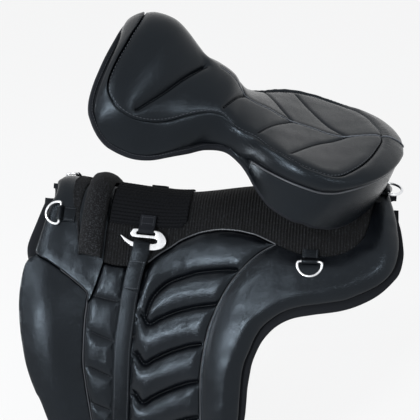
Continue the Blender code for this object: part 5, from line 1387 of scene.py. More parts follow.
points, faces = ribbed_sheet(WEB_FRONT, WEB_REAR, WEB_REACH, ON_TOP, WEB_THICK, RIB_PITCH, RIB_HEIGHT,
                             WEB_REACH / 5)
make("stirrup_webbing", points, faces, ribbed_web, "webbing", "base", ["stirrup_webbing"], None, 60.0)
print("made", made_pieces[-3:])

# %% [markdown]
# ## Rings and chapes
#
# Each D ring turns on its straight bar inside a folded leather chape. The ring's place and bar
# are read from its joint, so the smooth ring turns exactly where the solid one does.


# %% Rings and chapes
def joint_frame(name, node):
    """Axes at a joint: X along its axis, Y towards the node's middle, Z outwards."""
    joint = next(j for j in frame["joints"] if j["name"] == name)
    low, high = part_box(node)
    at = np.array(joint["pos_m"], float)
    across = unit(np.array(joint["axis"], float))
    middle = (np.array(low, float) + np.array(high, float)) / 2 - at
    down = unit(middle - across * (middle @ across))
    return at, across, down, np.cross(across, down)


def spot(axes, u, v, w):
    at, across, down, out = axes
    return at + across * u + down * v + out * w


def settle_out(axes, x, s):
    """Turn the axes so that the third one points away from the back."""
    at, across, down, out = axes
    way = back_normal(np.array([x]), np.array([s]))[0]
    return (at, across, down, out) if out @ way > 0 else (at, -across, down, -out)


RING_INSIDE, RING_REACH, RING_WIRE = 0.030, 0.0205, 0.0038
CHAPE_WIDTH, CHAPE_PLY, CHAPE_NECK = 0.022, 0.0014, 0.0056
EDGE_ROW, ACROSS_HALF = 0.0022, 0.0085


def ring_outline():
    """Middle line of a D ring, finely stepped."""
    half = (RING_INSIDE + RING_WIRE) / 2
    corner = RING_WIRE
    path = [(u, 0.0) for u in np.linspace(-half + corner, half - corner, 12)]
    path += [(half - corner + corner * math.sin(a), corner - corner * math.cos(a))
             for a in np.linspace(0.0, math.pi / 2, 7)[1:]]
    path += [(half * math.cos(a), corner + (RING_REACH - corner) * math.sin(a))
             for a in np.linspace(0.0, math.pi, 33)[1:]]
    path += [(-half + corner - corner * math.cos(a), corner - corner * math.sin(a))
             for a in np.linspace(0.0, math.pi / 2, 7)[1:-1]]
    return np.array(path)


def ring_piece(axes):
    flat = ring_outline()
    path = np.array([spot(axes, u, v, 0.0) for u, v in flat])
    out = np.repeat(axes[3][None], len(path), 0)
    along = unit(np.roll(path, -1, 0) - np.roll(path, 1, 0))
    return swept(path, np.cross(out, along), circle(RING_WIRE / 2, 14), True)


def chape(axes, lift, length):
    """Strap of two plies that runs round the ring's bar: out underneath, and back on top."""
    low = -lift + 0.0005 + CHAPE_PLY / 2
    high = low + CHAPE_PLY + 0.00025
    radius = RING_WIRE / 2 + 0.0005 + CHAPE_PLY / 2
    near_v, far_v = -CHAPE_NECK, -CHAPE_NECK - length
    start = math.atan2(high, near_v) % math.tau - math.acos(min(1.0, radius / math.hypot(near_v, high)))
    end = math.atan2(low, near_v) % math.tau
    end = end - math.tau + math.acos(min(1.0, radius / math.hypot(near_v, low)))
    turn = np.linspace(start, end, 22)
    path = [(v, high) for v in np.linspace(far_v, near_v, 8)]
    path += [(radius * math.cos(a), radius * math.sin(a)) for a in turn]
    path += [(v, low) for v in np.linspace(near_v, far_v, 8)]
    return np.array([spot(axes, 0.0, v, w) for v, w in path])


RING_LIFT = RING_WIRE / 2 + 0.0005 + CHAPE_PLY + 0.0005


def ring_set(stem, joint, node, x, s, length, pair):
    axes = settle_out(joint_frame(joint, node), x, s)
    points, faces = ring_piece(axes)
    level_axes = chape_axes(x, s, axes)
    path = chape(level_axes, RING_LIFT, length)
    across = np.repeat(axes[1][None], len(path), 0)
    strap = swept(path, across, strap_section(CHAPE_WIDTH, CHAPE_PLY, 0.00022, EDGE_ROW))
    top = path[:8] + level_axes[3] * (CHAPE_PLY / 2)
    rows = []
    for line in (top + axes[1] * (EDGE_ROW - CHAPE_WIDTH / 2), top + axes[1] * (CHAPE_WIDTH / 2 - EDGE_ROW),
                 np.array([top[-1] + axes[1] * u for u in np.linspace(-ACROSS_HALF, ACROSS_HALF, 6)])):
        rows.append(stitches(line, np.repeat(axes[3][None], len(line), 0), 0.0030, 0.0021, 0.00034))
    tack = stacked(*rows)
    if pair:
        both(stem + "_ring", points, faces, steel, "bright_steel", stem + "_ring_{}", [stem + "_ring_{}"])
        both(stem + "_chape", *strap, strap_leather, "black_leather", "base", [stem + "_chape_{}"])
        both(stem + "_chape_thread", *tack, thread_stuff, "black_leather", "base")
    else:
        make(stem + "_ring", points, faces, steel, "bright_steel", stem + "_ring", [stem + "_ring"])
        make(stem + "_chape", *strap, strap_leather, "black_leather", "base", [stem + "_chape"])
        make(stem + "_chape_thread", *tack, thread_stuff, "black_leather", "base")


def chape_axes(x, s, axes):
    """Ring axes laid level with the back, for the chape."""
    at, across, down = axes[:3]
    way = back_normal(np.array([x]), np.array([s]))[0]
    flat = unit(down - way * (down @ way))
    return at, across, flat, way


ring_set("front", "front_ring_turn_left", "front_ring_left", -0.492 * LENGTH, 0.086 * DEPTH, 0.0165, True)
ring_set("rear", "rear_ring_turn_left", "rear_ring_left", 0.250 * LENGTH, 0.252 * DEPTH, 0.0120, True)
ring_set("tail", "tail_ring_turn", "tail_ring", 0.455 * LENGTH, 0.0, 0.0040, False)
print("made", made_pieces[-9:])

# %% [markdown]
# ## Hangers, webbing loops and stirrup leathers
#
# Each hanger is a flat open steel hook, cast with rounded edges. Its upper bar runs in a webbing
# loop, and the stirrup leather is folded over its arm and sewn back to itself.

# %% Hanger plates
HANGER_THICK, HANGER_LENGTH, HANGER_DEPTH = 0.0035, 0.067, 0.029
SLOT_LENGTH, SLOT_WIDTH = 0.0285, 0.0050
SLOT_DROP, SLOT_MIDDLE = -0.355 * HANGER_DEPTH, 0.03 * HANGER_LENGTH
HANGER_X, HANGER_S = -0.236 * LENGTH, WEB_REACH + 0.655 * HANGER_DEPTH
HANGER_TOP = min(w for u, w in HANGER_SHARES) * HANGER_DEPTH

hook_axes = settle_out(joint_frame("hanger_swing_left", "hanger_left"), HANGER_X, HANGER_S)
way = back_normal(np.array([HANGER_X]), np.array([HANGER_S]))[0]
down = unit(hook_axes[2] - way * (hook_axes[2] @ way))
rear = np.cross(down, way)
rear = rear if rear[0] > 0 else -rear
bar_drop = (HANGER_TOP + SLOT_DROP - SLOT_WIDTH / 2) / 2
hook_at = hook_axes[0] - down * bar_drop
PLATE = (hook_at, rear, down, way)


def rounded_plate(outline, hole, thick, axes, bevel):
    """Flat plate with a hole, its rims rounded over."""
    loop, cut = smooth(outline, 0.0012, True), smooth(hole, 0.0010, True)
    both_flat = np.vstack((loop, cut))
    scaled = [Vector((p[0] * 40.0, p[1] * 40.0)) for p in both_flat]
    borders = [list(range(len(loop))), list(range(len(loop), len(both_flat)))]
    result = delaunay_2d_cdt(scaled, [], borders, 1, 1e-6)
    flat = np.array([(v.x / 40.0, v.y / 40.0) for v in result[0]])
    middles = np.array([flat[list(f)].mean(0) for f in result[2]])
    keep = within(middles, loop) & ~within(middles, cut)
    caps = [f for f, kept in zip(result[2], keep) if kept]
    body = bmesh.new()
    low = [body.verts.new(spot(axes, u, v, -thick / 2)) for u, v in flat]
    high = [body.verts.new(spot(axes, u, v, thick / 2)) for u, v in flat]
    for f in caps:
        body.faces.new([low[v] for v in reversed(f)])
        body.faces.new([high[v] for v in f])
    for a, b in rim_of(caps):
        body.faces.new((low[a], low[b], high[b], high[a]))
    bmesh.ops.recalc_face_normals(body, faces=body.faces)
    rims = [e for e in body.edges if len(e.link_faces) == 2 and e.calc_face_angle() > 1.2]
    bmesh.ops.bevel(body, geom=rims, offset=bevel, segments=3, profile=0.5, affect="EDGES",
                    clamp_overlap=True)
    body.verts.index_update()
    points = np.array([v.co for v in body.verts])
    faces = [tuple(v.index for v in f.verts) for f in body.faces]
    body.free()
    return points, faces


outline = np.array(HANGER_SHARES) * (HANGER_LENGTH, HANGER_DEPTH)
half_slot, rise = SLOT_LENGTH / 2, SLOT_WIDTH / 2
slot_line = np.array([(SLOT_MIDDLE + sign * (half_slot - rise) + rise * math.cos(a),
                       SLOT_DROP + rise * math.sin(a))
                      for sign, span in ((1, (-math.pi / 2, math.pi / 2)), (-1, (math.pi / 2, 1.5 * math.pi)))
                      for a in np.linspace(*span, 7)])
points, faces = rounded_plate(outline, slot_line, HANGER_THICK, PLATE, 0.0009)
both("hanger", points, faces, steel, "bright_steel", "hanger_{}", ["hanger_{}"], None, 60.0)
print("made", made_pieces[-2:])

# %% Webbing loops
LOOP_PLY, LOOP_SEWN, STRAP_PLY = 0.0014, 0.0125, 0.0025


def turned_path(centre, v_axis, w_axis, radius, head, tail, steps):
    """Path round a bar: tangent from head, over the far side, and back to tail."""
    def flat(p):
        q = p - centre
        return np.array((q @ v_axis, q @ w_axis))
    first, last = flat(head), flat(tail)
    start = math.atan2(first[1], first[0]) % math.tau
    start -= math.acos(min(1.0, radius / np.linalg.norm(first)))
    end = math.atan2(last[1], last[0])
    end -= math.tau if end > 0 else 0.0
    end += math.acos(min(1.0, radius / np.linalg.norm(last)))
    turn = np.linspace(start, end, steps)
    return np.array([centre + v_axis * radius * math.cos(a) + w_axis * radius * math.sin(a) for a in turn])


bar_at = spot(PLATE, SLOT_MIDDLE, bar_drop, 0.0)
half_bar = (SLOT_DROP - rise - HANGER_TOP) / 2
loop_radius = math.hypot(HANGER_THICK / 2, half_bar) + 0.0005 + LOOP_PLY / 2
low = ON_TOP + WEB_THICK + 0.0005 + LOOP_PLY / 2
high = low + LOOP_PLY + 0.00025
loop_x = HANGER_X + SLOT_MIDDLE
s_row = np.linspace(WEB_REACH - LOOP_SEWN, WEB_REACH, 6)
upper = place(np.full(6, loop_x), s_row, np.full(6, high))
lower = place(np.full(6, loop_x), s_row[::-1], np.full(6, low))
bend = turned_path(bar_at, PLATE[2], PLATE[3], loop_radius, upper[-1], lower[0], 22)
path = np.vstack((upper, bend, lower))
across = np.repeat(PLATE[1][None], len(path), 0)
points, faces = swept(path, across, strap_section(STRAP_WIDTH - 0.002, LOOP_PLY, 0.0002, 0.0020))
rows = []
on_ply = upper + PLATE[3] * (LOOP_PLY / 2 + 0.0001)
lines = [on_ply + PLATE[1] * u for u in (-ACROSS_HALF, ACROSS_HALF)]
lines += [on_ply[k] + PLATE[1] * np.linspace(-ACROSS_HALF, ACROSS_HALF, 7)[:, None] for k in (1, 4)]
for line in lines:
    rows.append(stitches(line, np.repeat(PLATE[3][None], len(line), 0), 0.0028, 0.0019, 0.00036))
both("hanger_loop", points, faces, binding_cloth, "webbing", "base", ["hanger_loop_{}"])
both("hanger_loop_thread", *stacked(*rows), thread_stuff, "webbing", "base")
print("made", made_pieces[-4:])

# %% [markdown]
# The stirrup leather is one strap. The part that is sewn round the hook swings with the hook,
# and the long part below rides on a body of its own.

# %% Stirrup leathers
FIELD_END = 0.192 * DEPTH
STRAP_SEWN, STRAP_ROW = 0.036, 0.0024


def leather_height(s):
    return PAD_TOP + 0.001 + STRAP_PLY / 2 - VALLEY_DEPTH * ease((s - FIELD_END) / STRAP_WIDTH)


def strap_line(s):
    return np.interp(s, STRAP_LINE[:, 1], STRAP_LINE[:, 0])


arm_top, arm_foot = 0.15 * HANGER_DEPTH, 0.46 * HANGER_DEPTH + STRAP_PLY
strap_middle = STRAP_LINE[0, 0] - HANGER_X
fold_radius = HANGER_THICK / 2 + 0.0005 + STRAP_PLY / 2
start = HANGER_S + arm_foot + STRAP_PLY * 4
sewn = start + STRAP_SEWN
s_row = np.linspace(start, sewn, 16)
second = STRAP_PLY + 0.001
back_ply = place(strap_line(s_row), s_row, leather_height(s_row))[::-1]
front_ply = place(strap_line(s_row), s_row, leather_height(s_row) + second)
low_point = spot(PLATE, strap_middle, arm_foot, -fold_radius)
high_point = spot(PLATE, strap_middle, arm_foot, fold_radius)
centre = spot(PLATE, strap_middle, arm_top, 0.0)
half_turn = np.array([centre - PLATE[2] * math.sin(a) * fold_radius - PLATE[3] * math.cos(a) * fold_radius
                      for a in np.linspace(0.0, math.pi, 13)])
path = np.vstack((back_ply, low_point, half_turn, high_point, front_ply))
path = smooth(path, 0.0022)
width = STRAP_WIDTH - 0.001
across = np.repeat(PLATE[1][None], len(path), 0)
points, faces = swept(path, across, strap_section(width, STRAP_PLY))
both("stirrup_fold", points, faces, strap_leather, "black_leather", "hanger_{}", ["stirrup_fold_{}"])


def strap_rows(s_values, lift):
    """Stitches inside both edges of the strap, on its outer face."""
    middle = place(strap_line(s_values), s_values, leather_height(s_values) + lift)
    out = back_normal(strap_line(s_values), s_values)
    return [stitches(middle + PLATE[1] * sign * (width / 2 - STRAP_ROW), out, 0.0036, 0.0025, 0.00048)
            for sign in (-1, 1)]


rows = strap_rows(np.linspace(start, sewn - 0.001, 30), second + STRAP_PLY / 2 - 0.0002)
for s_at in (start + 0.0010, sewn - 0.0018):
    u = np.linspace(-0.0095, 0.0095, 12)
    base_point = place(strap_line(np.array([s_at])), np.array([s_at]),
                       leather_height(np.array([s_at])) + second + STRAP_PLY / 2)
    line = base_point + PLATE[1][None] * u[:, None]
    out = np.repeat(back_normal(strap_line(np.array([s_at])), np.array([s_at])), 12, 0)
    rows.append(stitches(line, out, 0.0034, 0.0024, 0.00038))
both("stirrup_fold_thread", *stacked(*rows), pale_thread, "black_leather", "hanger_{}")

top = sewn + SEAM_GAP
foot = STRAP_LINE[-1, 1]
settled = top + STRAP_WIDTH * 1.2
s_row = np.concatenate((np.linspace(top, settled, 14), np.linspace(settled, foot, 90)[1:]))
over = 1.0 - ease((s_row - top) / (settled - top))
path = place(strap_line(s_row), s_row, leather_height(s_row) + second * over)
across = np.repeat(PLATE[1][None], len(path), 0)
points, faces = swept(path, across, strap_section(width, STRAP_PLY))
both("stirrup_leather", points, faces, strap_leather, "black_leather", "stirrup_leather_{}",
     ["stirrup_leather_{}"])
s_line = np.linspace(top + 0.002, foot - 0.002, 150)
lift = second * (1.0 - ease((s_line - top) / (settled - top))) + STRAP_PLY / 2 - 0.0002
rows = strap_rows(s_line, lift)
both("stirrup_leather_thread", *stacked(*rows), pale_thread, "black_leather", "stirrup_leather_{}")
print("made", made_pieces[-8:])

# %% [markdown]
# ## Girth billets
#
# The billets hang from the core under the flap, so only their ends show below it. A girth
# buckles on them, so each has a row of punched holes, which are modelled as real rims.

# %% Billets
BILLET_WIDTH, BILLET_THICK, BILLET_TAIL = 0.025, 0.003, 0.085
FLEX = 0.905 * DEPTH
for name, share in (("front", -0.200), ("rear", -0.090)):
    middle = share * LENGTH
    s_row = np.linspace(0.402 * DEPTH, FLEX - 0.0010, 24)
    path = place(np.full(24, middle), s_row, np.full(24, CORE_LOW + BILLET_THICK / 2))
    across = np.repeat(np.array([[1.0, 0.0, 0.0]]), 24, 0)
    points, faces = swept(path, across, strap_section(BILLET_WIDTH, BILLET_THICK))
    both(f"billet_{name}", points, faces, strap_leather, "black_leather", "base", [f"billet_{name}_{{}}"])
    half_width = BILLET_WIDTH / 2
    start_s = FLEX + SEAM_GAP
    tip = start_s + BILLET_TAIL
    shoulder = tip - half_width
    nose = [(middle + half_width * math.cos(a), shoulder + half_width * math.sin(a))
            for a in np.linspace(0.0, math.pi, 15)]
    tail_loop = joined(smooth([(middle - half_width, start_s), (middle + half_width, start_s)], 0.003),
                       smooth([(middle + half_width, start_s), (middle + half_width, shoulder)], 0.004),
                       np.array(nose),
                       smooth([(middle - half_width, shoulder), (middle - half_width, start_s)], 0.004))
    tail_closed = closed_up(tail_loop)
    punched = [(middle, tip - 0.020 - 0.0125 * k) for k in range(5)]

    def tail_height(flat):
        away = near(flat, [tail_closed])[0]
        tall = CORE_LOW + BILLET_THICK * curled(away, 0.0011, 0.45)
        tall = tall - np.exp(-((away - 0.0026) / 0.0006)**2) * 0.0003
        for x, s in punched:
            gap = np.hypot(flat[:, 0] - x, flat[:, 1] - s)
            dent = 0.0022 * (1.0 - ease((gap - 0.0014) / 0.0010))
            lip = np.exp(-((gap - 0.0031) / 0.0006)**2) * 0.0002
            tall = tall - dent + lip
        return tall

    holes = [smooth([(x + r * math.cos(a), s + r * math.sin(a)) for a in np.linspace(0, math.tau, 9)], 0.0009)
             for x, s in punched for r in (0.0010, 0.0017, 0.0024, 0.0033)]
    points, faces = layer(tail_loop, CORE_LOW, tail_height, 0.0035, (0.0006, 0.0013, 0.0020, 0.0026, 0.0032),
                          holes, (0.0,), 0.0009)
    both(f"billet_tail_{name}", points, faces, strap_leather, "black_leather", f"billet_{name}_{{}}",
         [f"billet_tail_{name}_{{}}"])
print("made", made_pieces[-8:])

# %% [markdown]
# ## The seat
#
# The seat is shown peeled up at the front and turned about its rear hem. It is built closed,
# lying on the saddle, because there its hem follows the back, and then all of it is turned.
# Around it runs a bound hem. Above the hem stands the fat roll, sewn to the middle field along
# the inner line. Behind the waist, a smooth gusset lifts the roll to the cantle.

# %% Seat curves
HEM_WIDTH, HEM_HEIGHT = 0.012, 0.010
SEAT_TOP_RISE, SEAT_ROLL, RIM_START = 0.100, 0.013, 17
TILT = next(j for j in frame["joints"] if j["name"] == "seat_tilt")
PIVOT = np.array(TILT["pos_m"], float)
LIFT_ANGLE = math.radians(30.0)


def lifted(points):
    """Turn the closed seat nose up about its rear hem."""
    p = np.asarray(points, float) - PIVOT
    c, s = math.cos(LIFT_ANGLE), math.sin(LIFT_ANGLE)
    return np.stack((p[..., 0] * c + p[..., 2] * s, p[..., 1], -p[..., 0] * s + p[..., 2] * c), -1) + PIVOT


def seat_low(x, s):
    """Height over the back of the seat's underside."""
    share, down_share = x / LENGTH, np.abs(s) / DEPTH
    along = np.maximum(0.0, 1.0 - np.abs(share - 0.25) * LENGTH / 0.045)
    return (PAD_TOP + 0.003 + 0.011 * ease((-share - 0.04) / 0.12) + 0.008 * ease((-share - 0.30) / 0.08)
            + 0.009 * along * ease((down_share - 0.192) / 0.05))


def seat_place(flat, extra):
    """Points on the seat's own layers, over places of the back."""
    return place(flat[:, 0], flat[:, 1], seat_low(flat[:, 0], flat[:, 1]) + extra)


def seat_top(x, y):
    """Height of the seat's middle field over a point of its plan."""
    along = SEAT_TOP_RISE * rounded_row(SEAT_X_SHARES, SEAT_Z_SHARES, x / LENGTH)
    arch = 1.20 * (1.0 - ease((x / LENGTH + 0.24) / 0.36))
    return along - arch * (np.sqrt(y * y + 0.050**2) - 0.050)


def ring_smooth(ring, count):
    """Catmull-Rom through a ring of points, at a fixed number of steps for each span."""
    p = np.vstack((ring[-1], ring, ring[0], ring[1]))
    t = np.linspace(0.0, 1.0, count, endpoint=False)[:, None]
    run = []
    for a, b, c, d in zip(p, p[1:], p[2:], p[3:]):
        run.append(0.5 * (2 * b + (c - a) * t + (2 * a - 5 * b + 4 * c - d) * t**2
                          + (3 * b - a - 3 * c + d) * t**3))
    return np.vstack(run)


def whole(half):
    """A half ring from the spine back to the spine, with its mirror image."""
    half = np.array(half, float)
    half[0, 1] = half[-1, 1] = 0.0
    return np.vstack((half, (half[1:-1] * (1.0, -1.0, 1.0))[::-1]))


def plan_out(line):
    """Level directions away from the seat's middle, square to a line of points."""
    run = np.gradient(np.asarray(line, float), axis=0)
    out = unit(np.stack((run[:, 1], -run[:, 0], np.zeros(len(run))), -1))
    return np.where(out[:, 1:2] > 0, -out, out)


def pulled_in(loop, amount):
    """A closed outline moved inwards."""
    sign = 1.0 if area(loop) > 0 else -1.0
    return loop + sideways(loop) * amount * sign


HEM = on_plan(HEM_SHARES)
hem_loop = mirrored(HEM)
count_half = len(HEM)
gusset_clear = 0.003 + SEAM_GAP * 2
inner_hem = pulled_in(hem_loop, gusset_clear)[:count_half]
plan_foot = np.array([HEM[k] if k <= RIM_START else inner_hem[k] for k in range(count_half)])
foot_line = seat_place(plan_foot, HEM_HEIGHT + 0.004)
rim_half = np.array([(x * LENGTH, -y * LENGTH, z * SEAT_TOP_RISE)
                     for (x, y), z in zip(RIM_SHARES, RIM_Z_SHARES)])
edge_half = np.vstack((foot_line[:RIM_START], rim_half))
ledge_half = foot_line.copy()
outs = plan_out(edge_half)
for k in range(RIM_START + 1, count_half):
    ledge_half[k] = edge_half[k] - outs[k] * gusset_clear
inner_plan = on_plan(INNER_SHARES)
inner_half = np.stack((inner_plan[:, 0], -inner_plan[:, 1], seat_top(inner_plan[:, 0], inner_plan[:, 1])), -1)
SPAN = 7
ledge_ring = ring_smooth(whole(ledge_half), SPAN)
edge_ring = ring_smooth(whole(edge_half), SPAN)
inner_ring = ring_smooth(whole(inner_half), SPAN)
out_ring = unit(ring_smooth(whole(outs), SPAN))
plan_ring = ring_smooth(np.hstack((mirrored(plan_foot), np.zeros((2 * count_half - 2, 1)))), SPAN)[:, :2]
around_marks = distances(inner_ring)

# In front the roll stands back from the hem, which shows beside it except at the spine.
HEM_SHOWN = 0.0075
drawn_in = HEM_SHOWN * ease((-edge_ring[:, :1] / LENGTH + 0.03) / 0.10)
drawn_in = drawn_in * (1.0 - np.exp(-(edge_ring[:, 1:2] / 0.040)**2))
edge_ring = edge_ring - out_ring * drawn_in
ledge_ring = ledge_ring - out_ring * drawn_in
plan_ring = pulled_in(plan_ring, drawn_in)
print("seat rings of", len(edge_ring), "points")

# %% [markdown]
# The roll is lofted from the hem or rim up and over to the inner line. Its profile is a pillow:
# steep at both seams and round between. Small rucks stand beside the inner line, where the
# leather is gathered, and the middle field is one net with a sunken seam for each chevron.

# %% Seat cushion
SEAM_SINK, SEAT_CROWN, RUCK_PITCH = 0.0020, 0.0068, 0.0052
PROFILE = np.array([0.0, 0.02, 0.05, 0.10, 0.17, 0.25, 0.34, 0.43, 0.52, 0.61, 0.70, 0.78, 0.85, 0.91, 0.955,
                    0.985, 1.0])
rings = [ledge_ring, edge_ring]
ruck_wave = 0.5 + 0.5 * np.cos(around_marks / RUCK_PITCH * math.tau)[:, None]
front_share = ease((-inner_ring[:, :1] / LENGTH + 0.02) / 0.16)
apex_share = np.exp(-(inner_ring[:, 1:2] / 0.050)**2) * (inner_ring[:, :1] < 0.0)
for share in PROFILE[1:]:
    flat_share = 0.5 * (1.0 - math.cos(math.pi * share)) * 0.55 + share * 0.45
    swell = math.sin(math.pi * share)**0.55 * SEAT_ROLL * 0.66
    ring = edge_ring + (inner_ring - edge_ring) * flat_share
    plump = swell * (0.92 + 0.08 * np.sin(around_marks / 0.061)[:, None])
    outward = out_ring * plump * (0.85 - 0.60 * front_share)
    upward = np.array([0.0, 0.0, 1.0]) * plump * (1.0 - 0.35 * apex_share)
    ring = ring + outward + upward
    gather = math.exp(-((share - 0.86) / 0.09)**2) * 0.00075
    ring = ring + np.array([0.0, 0.0, 1.0]) * ruck_wave * gather
    rings.append(ring)
rings[-1] = inner_ring.copy()
rings[-1][:, 2] -= SEAM_SINK
ring_count = len(edge_ring)
REAR_MIDDLE = (count_half - 1) * SPAN

top_loop = rings[-1][:, :2]
top_closed = closed_up(top_loop)
seat_lines = []
for shares in SEAT_LINE_SHARES:
    line = smooth(np.array(shares) * LENGTH, 0.003)
    seat_lines += [line, line * (1.0, -1.0)]
seat_lines = [line[within(line, top_loop)] for line in seat_lines]
CORD_SPAN = (-0.071, 0.1965)


def field_top(flat):
    """Height of the middle field: crown, sewn chevrons and the groove under the centre cord."""
    away, around, _ = near(flat, [top_closed])
    seam = near(flat, seat_lines)[0]
    crown = SEAT_CROWN * curled(away, 0.012, 0.0) - SEAM_SINK
    front = ease((-flat[:, 0] / LENGTH - 0.02) / 0.20)
    dome = (0.0010 + 0.0040 * front) * (1.0 - np.exp(-np.minimum(seam, away) / 0.018))
    scale = 0.0018 + 0.0018 * front
    pillow = (0.0034 + 0.0046 * front) * np.exp(-seam / scale) * ease(away / 0.010)
    past_ends = np.maximum(CORD_SPAN[0] - flat[:, 0], flat[:, 0] - CORD_SPAN[1])
    cord_gap = np.abs(flat[:, 1]) + np.maximum(0.0, past_ends)
    groove = 0.0016 * np.exp(-(cord_gap / 0.0026)**2)
    rucks = 0.5 + 0.5 * np.cos(around / RUCK_PITCH * math.tau)
    gathered = 0.0005 * np.exp(-((away - 0.0040) / 0.0022)**2) * rucks
    return (seat_top(flat[:, 0], flat[:, 1]) + crown + dome - pillow - groove + gathered * front
            + ripple(flat[:, 0], flat[:, 1], 0.060, 0.0003))


flat, top_faces = net(top_loop, 0.0040, (0.0007, 0.0016, 0.0028, 0.0044, 0.0064, 0.0088),
                      seat_lines, (0.0, 0.0008, 0.0018, 0.0030, 0.0044, 0.0060, 0.0078), 0.0012)[1:]
flat_z = field_top(flat)
rim_v = sorted({v for e in rim_of(top_faces) for v in e})
find = {(round(p[0], 5), round(p[1], 5)): k for k, p in enumerate(top_loop)}
body_points = list(np.vstack(rings))
faces = []
for r in range(len(rings) - 1):
    for k in range(ring_count):
        n = (k + 1) % ring_count
        a, b = r * ring_count, (r + 1) * ring_count
        faces.append((a + k, a + n, b + n, b + k))
number = {}
last = (len(rings) - 1) * ring_count
for v in rim_v:
    number[v] = last + find[(round(flat[v][0], 5), round(flat[v][1], 5))]
extra = [v for v in range(len(flat)) if v not in number]
for k, v in enumerate(extra):
    number[v] = len(body_points) + k
body_points = np.vstack((np.array(body_points), np.column_stack((flat[extra], flat_z[extra]))))
top_wound = [tuple(number[v] for v in f) for f in top_faces]

# The underside lies flat on the base, inside the foot.
low_flat, low_faces = net(plan_ring, 0.012)[1:]
low_points = seat_place(low_flat, HEM_HEIGHT + 0.0006)
low_find = {(round(p[0], 5), round(p[1], 5)): k for k, p in enumerate(low_flat)}
low_start = len(body_points)
body_points = np.vstack((body_points, low_points))
at_low = [low_start + low_find[(round(p[0], 5), round(p[1], 5))] for p in plan_ring]

faces += top_wound
faces += [tuple(v + low_start for v in f) for f in low_faces]
faces += [(k, (k + 1) % ring_count, at_low[(k + 1) % ring_count], at_low[k]) for k in range(ring_count)]
make("seat_cushion", lifted(body_points), faces, seat_leather, "black_leather", "seat", ["seat_cushion"], 0.8)
print("made", made_pieces[-1:])

# %% [markdown]
# The hem is two narrow strips side by side: an outer woven binding that wraps the edge, and an
# inner sewn strip. Under the seat lies the supple base, faced with hook fabric.

# %% Hem, base, gusset, piping and tab
hem_ring = ring_smooth(np.hstack((hem_loop, np.zeros((len(hem_loop), 1)))), SPAN)[:, :2]
hem_in = sideways(hem_ring) * (1.0 if area(hem_ring) > 0 else -1.0)
HEM_PROFILE = ((0.0006, 0.0), (0.0, 0.0022), (0.0, 0.0078), (0.0005, 0.0092), (0.0016, 0.0100),
               (0.0034, 0.0102), (0.0050, 0.0099), (0.0057, 0.0089), (0.0062, 0.0087),
               (0.0067, 0.0093), (0.0080, 0.0097), (0.0110, 0.0096), (0.0120, 0.0090), (0.0120, 0.0))
HEM_STITCH = 0.0040
hem_sections = []
hem_marks = distances(hem_ring)
for inset_by, high in HEM_PROFILE:
    stitched = 0.0 < inset_by < 0.0058 and high > 0.008
    pull = 0.00022 * np.cos(hem_marks / HEM_STITCH * math.tau) if stitched else 0.0
    hem_sections.append(seat_place(hem_ring + hem_in * inset_by, high + pull))
hem_points = np.stack(hem_sections, 1).reshape(-1, 3)
size, count = len(HEM_PROFILE), len(hem_ring)
faces = [(k * size + r, k * size + (r + 1) % size, ((k + 1) % count) * size + (r + 1) % size,
          ((k + 1) % count) * size + r)
         for k in range(count) for r in range(size)]
make("seat_hem", lifted(hem_points), faces, binding_cloth, "panel_lining", "seat", ["seat_hem"], 0.4)

base_loop = pulled_in(hem_ring, HEM_WIDTH + SEAM_GAP)
flat, top_faces = net(base_loop, 0.008, (0.001, 0.003))[1:]
dimple = 0.0004 * np.sin(flat[:, 0] / 0.006) * np.sin(flat[:, 1] / 0.007)
points, faces = two_nets(seat_place(flat, HEM_HEIGHT - 0.0004), top_faces,
                         seat_place(flat, dimple + 0.0004), top_faces, flat, flat)
make("seat_base", lifted(points), faces, hook_fabric, "loop_fabric", "seat", ["seat_base"], 0.3)

GUSSET_THICK, PIPING_RADIUS = 0.003, 0.0016
first = (RIM_START + 1) * SPAN
last_k = len(edge_ring) - (RIM_START + 1) * SPAN
indices = list(range(first, last_k + 1))
edge_line = edge_ring[indices]
out_line = out_ring[indices]
hem_foot = ring_smooth(whole(seat_place(HEM, HEM_HEIGHT + 0.001)), SPAN)[indices]
thin_foot = ring_smooth(whole(seat_place(pulled_in(hem_loop, GUSSET_THICK)[:count_half], HEM_HEIGHT + 0.001)),
                        SPAN)[indices]
head = edge_line - np.array([0.0, 0.0, (0.0005 + PIPING_RADIUS) * 2])
rows_up = []
for v in np.linspace(0.0, 1.0, 9):
    bow = math.sin(math.pi * v) * 0.0012
    slack = (1 + 0.6 * np.sin(np.arange(len(indices)) / 4.1))[:, None]
    rows_up.append(hem_foot + (head - hem_foot) * v + out_line * bow * slack)
inner_rows = [thin_foot + (head - out_line * GUSSET_THICK - thin_foot) * v for v in (1.0, 0.66, 0.33, 0.0)]
section_rows = rows_up + inner_rows
points = np.stack(section_rows, 1)
size, count = points.shape[1], points.shape[0]
points = points.reshape(-1, 3)
faces = [(k * size + r, k * size + (r + 1) % size, (k + 1) * size + (r + 1) % size, (k + 1) * size + r)
         for k in range(count - 1) for r in range(size)]
for a in (0, count - 1):
    ring_ids = [a * size + r for r in range(size)]
    for r in range(size // 2 - 1):
        faces.append((ring_ids[r], ring_ids[r + 1], ring_ids[size - 2 - r], ring_ids[size - 1 - r]))
    r = size // 2 - 1
    faces.append(tuple(ring_ids[r:size - r]))
make("cantle_gusset", lifted(points), faces, seat_leather, "black_leather", "seat", ["cantle_gusset"], 0.5)

pipe_path = edge_line - np.array([0.0, 0.0, 0.0005 + PIPING_RADIUS])
points, faces = swept(lifted(pipe_path), np.repeat(np.array([[0.0, 0.0, 1.0]]), len(pipe_path), 0),
                      circle(PIPING_RADIUS, 10))
make("rim_piping", points, faces, edge_leather, "black_leather", "seat", ["rim_piping"])

